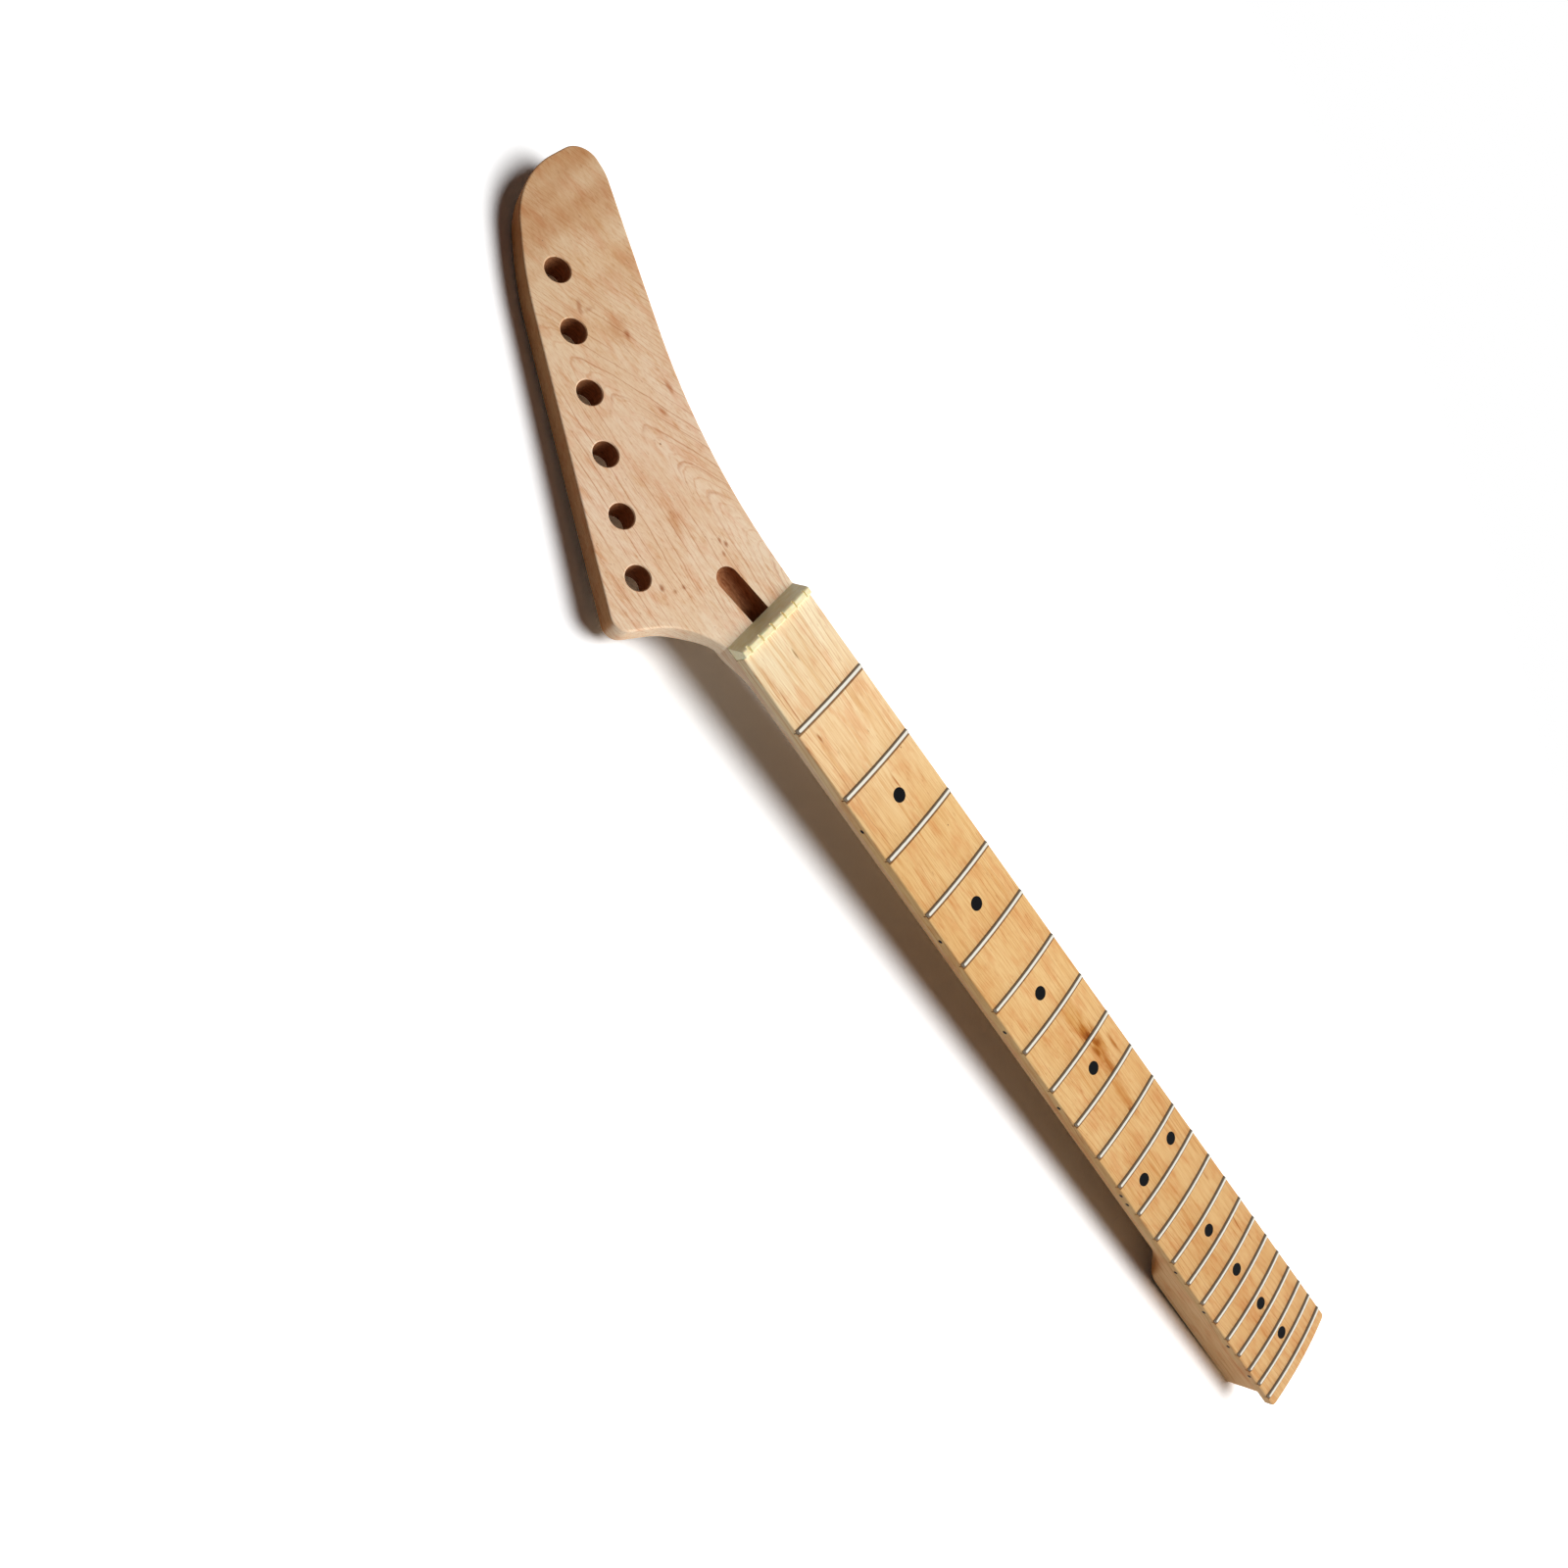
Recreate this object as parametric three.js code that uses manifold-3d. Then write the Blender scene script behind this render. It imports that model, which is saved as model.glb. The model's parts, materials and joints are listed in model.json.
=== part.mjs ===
// A bolt-on electric guitar neck with a glued-on fingerboard, in millimetres.
// X runs along the neck from the headstock to the body, Y to the treble side and
// Z up out of the fingerboard. The origin is the centre of the heel's flat back.
// The neck is drawn from the nut line, where the strings leave the nut and X is
// zero, and the whole group is then moved to that origin.

import * as THREE from 'three';
import { mergeVertices } from 'three/addons/utils/BufferGeometryUtils.js';
import Module from 'manifold-3d';

const wasm = await Module();
wasm.setup();

// Scale and frets. The frets are equal-tempered steps of the scale length.
const scaleLength = 648;
const fretCount = 22;
const fretsPerOctave = 12;
const crownWidth = 2.4;
const crownHeight = 1.2;
const tangThickness = 0.6;
const tangDepth = 1.8;
const fretEndInset = 0.4;
const fretEndAngle = 35;

// Fingerboard, whose top is part of a cylinder of boardRadius.
const nutWidth = 42;
const boardEndWidth = 57.2;
const boardThickness = 6.35;
const boardRadius = 241.3;
const boardTail = 7.35;
const boardCornerRadius = 1.2;

// Position dots in the board's face and in its bass edge.
const singleDotFretNumbers = [3, 5, 7, 9, 15, 17, 19, 21];
const doubleDotFretNumber = 12;
const dotDiameter = 6.35;
const dotThickness = 2;
const doubleDotSpacing = 25.4;
const sideDotDiameter = 2;
const sideDotLength = 3;
const sideDoubleSpacing = 6.3;

// Nut. Its foot is thickest, and its front leans back to the crest.
const nutSetback = 0.5;
const nutThickness = 6.2;
const nutRise = 1.9;
const nutCrest = 2.6;
const nutCrestRound = 0.8;
const nutEndInset = 0.2;
const stringCount = 6;
const stringSpread = 35;
const bassSlotWidth = 1.3;
const trebleSlotWidth = 0.5;
const stringSlotDepth = 0.9;

// Heel and shaft. heelDepth is the whole depth from the board's top to the heel's back.
const heelDepth = 25.4;
const heelLength = 81;
const heelOverhang = 8.5;
const heelCornerRadius = 2;
const heelFlareLength = 33;
const nutFlareLength = 34;
const backWood = 3.6;
const shaftGain = 1.8;

// Headstock. Its face starts at the foot of the nut and leans back by headTilt degrees.
const headTilt = 12;
const headThickness = 13.3;
const headEdgeRound = 1.5;
const headRootLength = 22;
const headRootInset = 1.5;

// Tuner holes stand in one row. Along and across are measured from the foot of the
// nut on the headstock's face, and across is positive on the treble side.
const tunerCount = 6;
const tunerHoleDiameter = 10.2;
const tunerSpacing = 24;
const tunerRowAngle = 31.8;
const firstTunerAlong = 41.4;
const firstTunerAcross = -28.7;

// The headstock's outline is a chain of straight runs joined by round corners. The
// first corner lies beside the neck, out from its bass side.
const sweepCorner = { along: 16.6, out: 5, radius: 37.7 };
// The others lie in the tuner row's own frame: past the first or the last tuner along
// the row, and out from the row on its bass side.
const hornCorner = { pastFirst: -19.7, out: 14.8, radius: 6.4 };
const bendCorner = { pastFirst: 47, out: -39.5, radius: 300 };
const edgeCorner = { pastLast: -1.8, out: 13.6, radius: 167 };
const tipCorner = { pastLast: 37.5, out: 6.8, radius: 37.3 };
const endCorner = { pastLast: 53.1, out: -24.7, radius: 9 };
const crownCorner = { pastLast: 38.7, out: -30.2, radius: 18.9 };

// Truss rod: a turning rod under a fixed bar, held by a block at each end. blockWall is
// the brass round the rod's bore.
const rodDiameter = 4.8;
const barThickness = 2.8;
const blockWall = 0.8;
const blockLength = 12;
const rodTail = 2;
const barrelDiameter = 7.6;
const barrelLength = 13;
const barrelGrip = 5;
const hexAcross = 4;
const hexDepth = 7;
const barrelSetback = 2;
const rodHeelMargin = 42;

// The slot in the headstock through which a key reaches the truss rod's barrel.
const keySlotWidth = 9.9;
const keySlotReach = 23.3;
const pocketWidth = 11.8;
const pocketReach = 4.4;

// Clearances: fitGap round what is pressed or glued in, runGap round what turns.
const fitGap = 0.1;
const runGap = 0.3;
const cutOverrun = 5;
const weldDistance = 0.0001;

// Facets
const boardFacets = 6;
const crownFacets = 3;
const cornerFacets = 5;
const roundFacets = 4 * cornerFacets;
const bevelFacets = 2;
const shaftFacets = 11;
const holeFacets = 28;
const dotFacets = 20;
const smallFacets = 12;
const rodFacets = 20;
const hexSides = 6;
const rootSteps = 3;
const flareSteps = 10;
const shaftSteps = 5;
const roundSteps = 4;

// Places that follow from the sizes, along X from the nut line and up from the heel's back.
const boardStartX = nutSetback;
const boardEndX = fretX(fretCount) + boardTail;
const footX = boardStartX - nutThickness;
const heelEndX = boardEndX - heelOverhang;
const heelStartX = heelEndX - heelLength;
const heelFlareX = heelStartX - heelFlareLength;
const boardTopZ = heelDepth;
const ledgeZ = boardTopZ - boardThickness;

const blockWidth = rodDiameter + 2 * (runGap + blockWall);
const channelWidth = blockWidth + 2 * fitGap;
const channelDepth = blockWidth + barThickness + 2 * fitGap;
const channelFloorZ = ledgeZ - channelDepth;
const rodZ = channelFloorZ + fitGap + blockWidth / 2;
const pocketFloorZ = rodZ - barrelDiameter / 2 - runGap;
const pocketEndX = barrelSetback + barrelLength + runGap;
const channelEndX = heelEndX - rodHeelMargin;
const frontBlockX = pocketEndX + fitGap;
const rearBlockX = channelEndX - fitGap - rodTail - blockLength;

const shaftDepthAtNut = ledgeZ - pocketFloorZ + backWood;

const degrees = Math.PI / 180;

const maple = { color: 0xd8b283, roughness: 0.55, metalness: 0 };
const boardMaple = { color: 0xe6bf86, roughness: 0.5, metalness: 0 };
const boneWhite = { color: 0xe9e6b4, roughness: 0.45, metalness: 0 };
const nickelSilver = { color: 0xc9c7bd, roughness: 0.28, metalness: 1 };
const blackInlay = { color: 0x17110d, roughness: 0.4, metalness: 0 };
const blackSteel = { color: 0x3a3a3c, roughness: 0.45, metalness: 1 };
const brass = { color: 0xb8914d, roughness: 0.35, metalness: 1 };

// Distance from the nut line to a fret.
function fretX(number) {
  return scaleLength * (1 - 2 ** (-number / fretsPerOctave));
}

// Half the width of the board and the neck at x. Ahead of the nut's foot it stays level.
function halfWidth(x) {
  const share = (Math.max(x, footX) - boardStartX) / (boardEndX - boardStartX);
  return (nutWidth + (boardEndWidth - nutWidth) * share) / 2;
}

// How far the round top of the board lies under its crown at y.
function crownDrop(y) {
  return boardRadius - Math.sqrt(boardRadius ** 2 - y ** 2);
}

// What a round corner of the given radius takes off a width, near an end of the piece.
function cornerLoss(radius, toEnd) {
  const into = Math.max(0, radius - toEnd);
  return radius - Math.sqrt(Math.max(0, radius ** 2 - into ** 2));
}

// Goes from 0 to 1 with level ends.
function ease(share) {
  return THREE.MathUtils.smootherstep(share, 0, 1);
}

// Evenly spread numbers, both ends included.
function spread(from, to, parts) {
  return Array.from({ length: parts + 1 }, (_, i) => from + ((to - from) * i) / parts);
}

// A closed geometry as a solid that can be cut and joined.
function solid(geometry) {
  const bare = geometry.clone();
  bare.deleteAttribute('normal');
  bare.deleteAttribute('uv');
  const merged = mergeVertices(bare, weldDistance);
  const vertProperties = new Float32Array(merged.attributes.position.array);
  const triVerts = new Uint32Array(merged.index.array);
  return new wasm.Manifold(new wasm.Mesh({ numProp: 3, vertProperties, triVerts }));
}

// A cut solid as a geometry again.
function geometryOf(body) {
  const { vertProperties, triVerts } = body.getMesh();
  const geometry = new THREE.BufferGeometry();
  geometry.setAttribute('position', new THREE.BufferAttribute(vertProperties, 3));
  geometry.setIndex(new THREE.BufferAttribute(triVerts, 1));
  geometry.computeVertexNormals();
  return geometry;
}

// The first geometry less all the others.
function cut(geometry, cutters) {
  return geometryOf(cutters.reduce((rest, cutter) => rest.subtract(solid(cutter)), solid(geometry)));
}

// Sweeps an outline through stations. place gives the real point for an outline
// point (a, b) at a station.
function sweep(outline, stations, place, curveSegments) {
  const steps = stations.length - 1;
  const geometry = new THREE.ExtrudeGeometry(outline, {
    depth: steps,
    steps,
    curveSegments,
    bevelEnabled: false,
  });
  const points = geometry.attributes.position;
  for (let i = 0; i < points.count; i += 1) {
    const station = stations[Math.round(points.getZ(i))];
    points.setXYZ(i, ...place(points.getX(i), points.getY(i), station));
  }
  geometry.computeVertexNormals();
  return geometry;
}

// A box given by its lowest and highest corners.
function boxBetween(low, high) {
  const size = high.map((value, i) => value - low[i]);
  const middle = high.map((value, i) => (value + low[i]) / 2);
  return new THREE.BoxGeometry(...size).translate(...middle);
}

// A round bar along X.
function roundBarX(radius, fromX, toX, facets, z) {
  return new THREE.CylinderGeometry(radius, radius, toX - fromX, facets)
    .rotateZ(Math.PI / 2)
    .translate((fromX + toX) / 2, 0, z);
}

// A closed outline of straight runs with round corners.
function roundedOutline(corners) {
  const shape = new THREE.Shape();
  const count = corners.length;
  corners.forEach(({ point, radius }, i) => {
    const back = corners[(i + count - 1) % count].point.clone().sub(point).normalize();
    const ahead = corners[(i + 1) % count].point.clone().sub(point).normalize();
    const half = Math.acos(back.dot(ahead)) / 2;
    const reach = radius / Math.tan(half);
    const start = back.clone().multiplyScalar(reach).add(point);
    if (i === 0) shape.moveTo(start.x, start.y);
    else shape.lineTo(start.x, start.y);
    if (radius === 0) return;
    const centre = back.clone().add(ahead).setLength(radius / Math.sin(half)).add(point);
    const end = ahead.clone().multiplyScalar(reach).add(point);
    const from = Math.atan2(start.y - centre.y, start.x - centre.x);
    const to = Math.atan2(end.y - centre.y, end.x - centre.x);
    shape.absarc(centre.x, centre.y, radius, from, to, back.cross(ahead) > 0);
  });
  shape.closePath();
  return shape;
}

// The headstock's own frame: x along the face from the nut's foot to the tip, y across
// it and z down into the wood.
function headFrame() {
  const tilt = headTilt * degrees;
  const along = new THREE.Vector3(-Math.cos(tilt), 0, -Math.sin(tilt));
  const across = new THREE.Vector3(0, 1, 0);
  const down = new THREE.Vector3(Math.sin(tilt), 0, -Math.cos(tilt));
  return new THREE.Matrix4().makeBasis(along, across, down).setPosition(footX, 0, ledgeZ);
}

// A point of the headstock's face, given along the tuner row and out on its bass side.
function besideRow(alongRow, out) {
  const row = new THREE.Vector2(Math.cos(tunerRowAngle * degrees), Math.sin(tunerRowAngle * degrees));
  const bassward = new THREE.Vector2(row.y, -row.x);
  return new THREE.Vector2(firstTunerAlong, firstTunerAcross)
    .addScaledVector(row, alongRow)
    .addScaledVector(bassward, out);
}

// The headstock seen square on to its face, from the bass side of the nut round the tip.
function headOutline() {
  const side = nutWidth / 2;
  const rowLength = (tunerCount - 1) * tunerSpacing;
  const rowCorner = ({ pastFirst, pastLast, out, radius }) => {
    const alongRow = pastLast === undefined ? pastFirst : rowLength + pastLast;
    return { point: besideRow(alongRow, out), radius };
  };
  return roundedOutline([
    { point: new THREE.Vector2(0, -side), radius: 0 },
    { point: new THREE.Vector2(sweepCorner.along, -side - sweepCorner.out), radius: sweepCorner.radius },
    rowCorner(hornCorner),
    rowCorner(edgeCorner),
    rowCorner(tipCorner),
    rowCorner(endCorner),
    rowCorner(crownCorner),
    rowCorner(bendCorner),
    { point: new THREE.Vector2(0, side), radius: 0 },
  ]);
}

// The plate of the headstock with its edges eased.
function headPlate() {
  return new THREE.ExtrudeGeometry(headOutline(), {
    depth: headThickness - 2 * headEdgeRound,
    curveSegments: cornerFacets,
    bevelThickness: headEdgeRound,
    bevelSize: headEdgeRound,
    bevelOffset: -headEdgeRound,
    bevelSegments: bevelFacets,
  })
    .translate(0, 0, headEdgeRound)
    .applyMatrix4(headFrame());
}

// Everything above the headstock's face, to trim the neck that runs in under it.
function aboveFace() {
  const length = headRootLength + cutOverrun;
  return new THREE.BoxGeometry(length, nutWidth + 2 * cutOverrun, headThickness)
    .translate(length / 2, 0, -headThickness / 2)
    .applyMatrix4(headFrame());
}

function tunerHole(index) {
  const centre = besideRow(index * tunerSpacing, 0);
  const radius = tunerHoleDiameter / 2;
  return new THREE.CylinderGeometry(radius, radius, headThickness + 2 * cutOverrun, holeFacets)
    .rotateX(Math.PI / 2)
    .translate(centre.x, centre.y, headThickness / 2)
    .applyMatrix4(headFrame());
}

// How square the neck's back is at x: 0 is a half ellipse, 1 a full rectangle. It is
// round along the shaft, and squares up towards the heel and the headstock.
function squareness(x) {
  const toHeel = ease((x - heelFlareX) / heelFlareLength);
  const toHead = ease(1 - (x - footX) / nutFlareLength);
  return Math.max(toHeel, toHead);
}

// Depth of the neck's back under the ledge that carries the fingerboard.
function backDepth(x) {
  const along = THREE.MathUtils.clamp((x - boardStartX) / (heelFlareX - boardStartX), 0, 1);
  const shaft = shaftDepthAtNut + shaftGain * along;
  return shaft + (ledgeZ - shaft) * ease((x - heelFlareX) / heelFlareLength);
}

// The shaft and heel as one sweep of a half round, which grows past the neck's sides
// and back and is cut flat by them. Its root runs in under the headstock's face.
function neckShaft() {
  const rootX = footX - headRootLength;
  const flareEndX = footX + nutFlareLength;
  const halfRound = new THREE.Shape().absarc(0, 0, 1, Math.PI, 2 * Math.PI);
  const stations = [
    ...spread(rootX, footX, rootSteps),
    ...spread(footX, flareEndX, flareSteps).slice(1),
    ...spread(flareEndX, heelFlareX, shaftSteps).slice(1),
    ...spread(heelFlareX, heelStartX, flareSteps).slice(1),
    ...spread(heelEndX - heelCornerRadius, heelEndX, roundSteps),
  ];
  const place = (a, b, x) => {
    const grow = 1 + (Math.SQRT2 - 1) * squareness(x);
    const rootLoss = headRootInset * THREE.MathUtils.clamp((footX - x) / headRootLength, 0, 1);
    const half = halfWidth(x) - rootLoss - cornerLoss(heelCornerRadius, heelEndX - x);
    const y = half * THREE.MathUtils.clamp(a * grow, -1, 1);
    return [x, y, ledgeZ + backDepth(x) * Math.max(b * grow, -1)];
  };
  return sweep(halfRound, stations, place, shaftFacets);
}

// The slot that the key goes down, cut with a ball-nosed bit level with the truss rod:
// a round trough, its ball end, and the open space above them.
function keySlot() {
  const radius = keySlotWidth / 2;
  const endX = footX - keySlotReach * Math.cos(headTilt * degrees) + radius;
  const axisZ = pocketFloorZ + radius;
  const outline = new THREE.Shape()
    .moveTo(pocketEndX, -radius)
    .lineTo(pocketEndX, radius)
    .lineTo(endX, radius)
    .absarc(endX, 0, radius, Math.PI / 2, Math.PI * 1.5, false);
  const depth = ledgeZ - axisZ + cutOverrun;
  const above = new THREE.ExtrudeGeometry(outline, {
    depth,
    curveSegments: cornerFacets,
    bevelEnabled: false,
  }).translate(0, 0, axisZ);
  const trough = roundBarX(radius, endX, pocketEndX, roundFacets, axisZ);
  const ball = new THREE.SphereGeometry(radius, roundFacets, roundFacets / 2)
    .rotateZ(Math.PI / 2)
    .translate(endX, 0, axisZ);
  return [above, trough, ball];
}

// The wider pocket round the truss rod's barrel, which shows as a step in the key slot.
function barrelPocket() {
  const fromX = footX - pocketReach * Math.cos(headTilt * degrees);
  const top = ledgeZ + cutOverrun;
  return boxBetween([fromX, -pocketWidth / 2, pocketFloorZ], [pocketEndX, pocketWidth / 2, top]);
}

function trussChannel() {
  const half = channelWidth / 2;
  const top = ledgeZ + cutOverrun;
  return boxBetween([pocketEndX - cutOverrun, -half, channelFloorZ], [channelEndX, half, top]);
}

// The one piece of maple that makes headstock, shaft and heel.
function neckBlank() {
  const trimmedShaft = solid(neckShaft()).subtract(solid(aboveFace()));
  const joined = geometryOf(trimmedShaft.add(solid(headPlate())));
  const tunerHoles = Array.from({ length: tunerCount }, (_, i) => tunerHole(i));
  return cut(joined, [...tunerHoles, ...keySlot(), barrelPocket(), trussChannel()]);
}

// The top of the fingerboard at y.
function boardZ(y) {
  return boardTopZ - crownDrop(y);
}

// The fingerboard before its slots and sockets: flat below, round above.
function boardPlank() {
  const section = new THREE.Shape().moveTo(-1, 0).lineTo(1, 0);
  spread(1, -1, boardFacets).forEach((a) => section.lineTo(a, 1));
  section.closePath();
  const stations = [boardStartX, ...spread(boardEndX - boardCornerRadius, boardEndX, roundSteps)];
  const place = (a, b, x) => {
    const y = a * (halfWidth(x) - cornerLoss(boardCornerRadius, boardEndX - x));
    return [x, y, b === 0 ? ledgeZ : boardZ(y)];
  };
  return sweep(section, stations, place);
}

// A bar that lies across the board and follows its round top. profile is drawn along
// the neck and up from the board's top, and endBevel slopes the ends above the board.
function acrossBoard(profile, x, halfLength, endBevel) {
  const place = (a, b, y) => {
    const atEnd = Math.abs(y) === halfLength;
    const slope = atEnd ? Math.sign(y) * Math.max(b, 0) * Math.tan(endBevel) : 0;
    return [x + a, y - slope, boardZ(y) + b];
  };
  return sweep(profile, spread(halfLength, -halfLength, boardFacets), place, crownFacets);
}

// A fret: a half-round crown on the board and a thin tang in its slot.
function fret(number) {
  const x = fretX(number);
  const tang = tangThickness / 2;
  const profile = new THREE.Shape()
    .absellipse(0, fitGap, crownWidth / 2, crownHeight, 0, Math.PI, false)
    .lineTo(-tang, fitGap)
    .lineTo(-tang, -tangDepth)
    .lineTo(tang, -tangDepth)
    .lineTo(tang, fitGap);
  return acrossBoard(profile, x, halfWidth(x) - fretEndInset, fretEndAngle * degrees);
}

function fretSlot(number) {
  const x = fretX(number);
  const half = tangThickness / 2 + fitGap;
  const profile = new THREE.Shape()
    .moveTo(-half, -tangDepth - fitGap)
    .lineTo(half, -tangDepth - fitGap)
    .lineTo(half, cutOverrun)
    .lineTo(-half, cutOverrun);
  return acrossBoard(profile, x, halfWidth(x) + cutOverrun, 0);
}

// Halfway between a fret and the one before it.
function betweenFrets(number) {
  return (fretX(number) + fretX(number - 1)) / 2;
}

// Names and places of the face dots. The double dot has one on each side of the middle.
function faceDots() {
  const single = (number) => ({ name: `face_dot_${number}`, x: betweenFrets(number), y: 0 });
  const x = betweenFrets(doubleDotFretNumber);
  const offset = doubleDotSpacing / 2;
  return [
    ...singleDotFretNumbers.map(single),
    { name: `face_dot_${doubleDotFretNumber}_bass`, x, y: -offset },
    { name: `face_dot_${doubleDotFretNumber}_treble`, x, y: offset },
  ];
}

// A disc let into the board, square to its round top. grow adds to its radius and depth.
function faceDisc({ x, y }, grow, above) {
  const radius = dotDiameter / 2 + grow;
  const depth = dotThickness + grow + above;
  return new THREE.CylinderGeometry(radius, radius, depth, dotFacets)
    .translate(0, above - depth / 2, 0)
    .rotateX(Math.PI / 2 - Math.asin(y / boardRadius))
    .translate(x, y, boardZ(y));
}

// Names and places of the side dots in the bass edge.
function sideDots() {
  const single = (number) => ({ name: `side_dot_${number}`, x: betweenFrets(number) });
  const x = betweenFrets(doubleDotFretNumber);
  const offset = sideDoubleSpacing / 2;
  return [
    ...singleDotFretNumbers.map(single),
    { name: `side_dot_${doubleDotFretNumber}_head`, x: x - offset },
    { name: `side_dot_${doubleDotFretNumber}_heel`, x: x + offset },
  ];
}

// A short rod let into the bass edge, halfway up it and square to it.
function sideDisc({ x }, grow, beyond) {
  const radius = sideDotDiameter / 2 + grow;
  const length = sideDotLength + grow + beyond;
  const edge = halfWidth(x);
  const taper = Math.atan((boardEndWidth - nutWidth) / 2 / (boardEndX - boardStartX));
  return new THREE.CylinderGeometry(radius, radius, length, smallFacets)
    .translate(0, length / 2 - beyond, 0)
    .rotateZ(-taper)
    .translate(x, -edge, (ledgeZ + boardZ(edge)) / 2);
}

function fingerboard() {
  const frets = Array.from({ length: fretCount }, (_, i) => i + 1);
  return cut(boardPlank(), [
    ...frets.map(fretSlot),
    ...faceDots().map((dot) => faceDisc(dot, fitGap, cutOverrun)),
    ...sideDots().map((dot) => sideDisc(dot, fitGap, cutOverrun)),
  ]);
}

// The nut before its string slots. Its crest follows the board's round top.
function nutBlock() {
  const rise = boardThickness + nutRise;
  const front = -nutThickness;
  const profile = new THREE.Shape()
    .moveTo(0, 0)
    .lineTo(0, rise - nutCrestRound)
    .absarc(-nutCrestRound, rise - nutCrestRound, nutCrestRound, 0, Math.PI / 2, false)
    .lineTo(nutCrestRound - nutCrest, rise)
    .quadraticCurveTo(-nutCrest, rise, -nutCrest - nutCrestRound, rise - 2 * nutCrestRound)
    .lineTo(front, 0);
  const half = nutWidth / 2 - nutEndInset;
  const place = (a, b, y) => [boardStartX + a, y, ledgeZ + b - (crownDrop(y) * b) / rise];
  return sweep(profile, spread(half, -half, boardFacets), place, crownFacets);
}

// A string's notch over the nut's crest. The wound bass strings have wider ones.
function stringSlot(index) {
  const share = index / (stringCount - 1);
  const width = THREE.MathUtils.lerp(bassSlotWidth, trebleSlotWidth, share);
  const y = (share - 1 / 2) * stringSpread;
  const floor = boardZ(y) + nutRise - stringSlotDepth;
  return new THREE.CylinderGeometry(width / 2, width / 2, nutThickness + 2 * cutOverrun, smallFacets)
    .rotateZ(Math.PI / 2)
    .scale(1, 1, 2 * (stringSlotDepth + nutRise) / width)
    .translate(footX, y, floor + stringSlotDepth + nutRise);
}

function nut() {
  return cut(nutBlock(), Array.from({ length: stringCount }, (_, i) => stringSlot(i)));
}

// The truss rod's fixed bar, which lies on both blocks.
function fixedBar() {
  const half = blockWidth / 2;
  const fromZ = rodZ + half;
  return boxBetween([frontBlockX, -half, fromZ], [rearBlockX + blockLength, half, fromZ + barThickness]);
}

// A square block with a bore in which the rod turns.
function rodBlock(fromX) {
  const toX = fromX + blockLength;
  const half = blockWidth / 2;
  return cut(boxBetween([fromX, -half, rodZ - half], [toX, half, rodZ + half]), [
    roundBarX(rodDiameter / 2 + runGap, fromX - cutOverrun, toX + cutOverrun, rodFacets, rodZ),
  ]);
}

// The turning rod runs from inside the barrel to just past the rear block.
function turningRod() {
  const fromX = barrelSetback + barrelLength - barrelGrip + fitGap;
  return roundBarX(rodDiameter / 2, fromX, rearBlockX + blockLength + rodTail, rodFacets, rodZ);
}

// The barrel on the rod's end, with a socket for a hex key towards the headstock.
function barrel() {
  const toX = barrelSetback + barrelLength;
  const hexRadius = hexAcross / 2 / Math.cos(Math.PI / hexSides);
  return cut(roundBarX(barrelDiameter / 2, barrelSetback, toX, rodFacets, rodZ), [
    roundBarX(hexRadius, barrelSetback - cutOverrun, barrelSetback + hexDepth, hexSides, rodZ),
    roundBarX(rodDiameter / 2 + fitGap, toX - barrelGrip, toX + cutOverrun, rodFacets, rodZ),
  ]);
}

const neck = new THREE.Group();
neck.position.x = -(heelStartX + heelEndX) / 2;

function add(name, geometry, look) {
  const piece = new THREE.Mesh(geometry, new THREE.MeshStandardMaterial(look));
  piece.name = name;
  neck.add(piece);
}

add('neck_blank', neckBlank(), maple);
add('fingerboard', fingerboard(), boardMaple);
add('nut', nut(), boneWhite);
for (let number = 1; number <= fretCount; number += 1) {
  add(`fret_${String(number).padStart(2, '0')}`, fret(number), nickelSilver);
}
faceDots().forEach((dot) => add(dot.name, faceDisc(dot, 0, 0), blackInlay));
sideDots().forEach((dot) => add(dot.name, sideDisc(dot, 0, 0), blackInlay));
add('truss_fixed_bar', fixedBar(), blackSteel);
add('truss_front_block', rodBlock(frontBlockX), brass);
add('truss_rear_block', rodBlock(rearBlockX), brass);
add('truss_turning_rod', turningRod(), blackSteel);
add('truss_hex_barrel', barrel(), blackSteel);

export default neck;
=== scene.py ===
# %% [markdown]
# # An electric guitar neck on a pale table
#
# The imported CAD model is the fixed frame: its pieces say where everything lies and what
# moves. This notebook dresses it. The wood, the fingerboard, the frets, the nut, the dots
# and the truss rod's barrel are modelled again with soft edges and finer curves, in the
# same places, and every surface gets a procedural material.
#
# Lengths are written in millimetres. X runs from the headstock to the heel, Y to the
# treble side and Z up out of the fingerboard, as in the CAD model.

import json
import math

import bmesh
import bpy
from mathutils import Matrix, Vector

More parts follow.
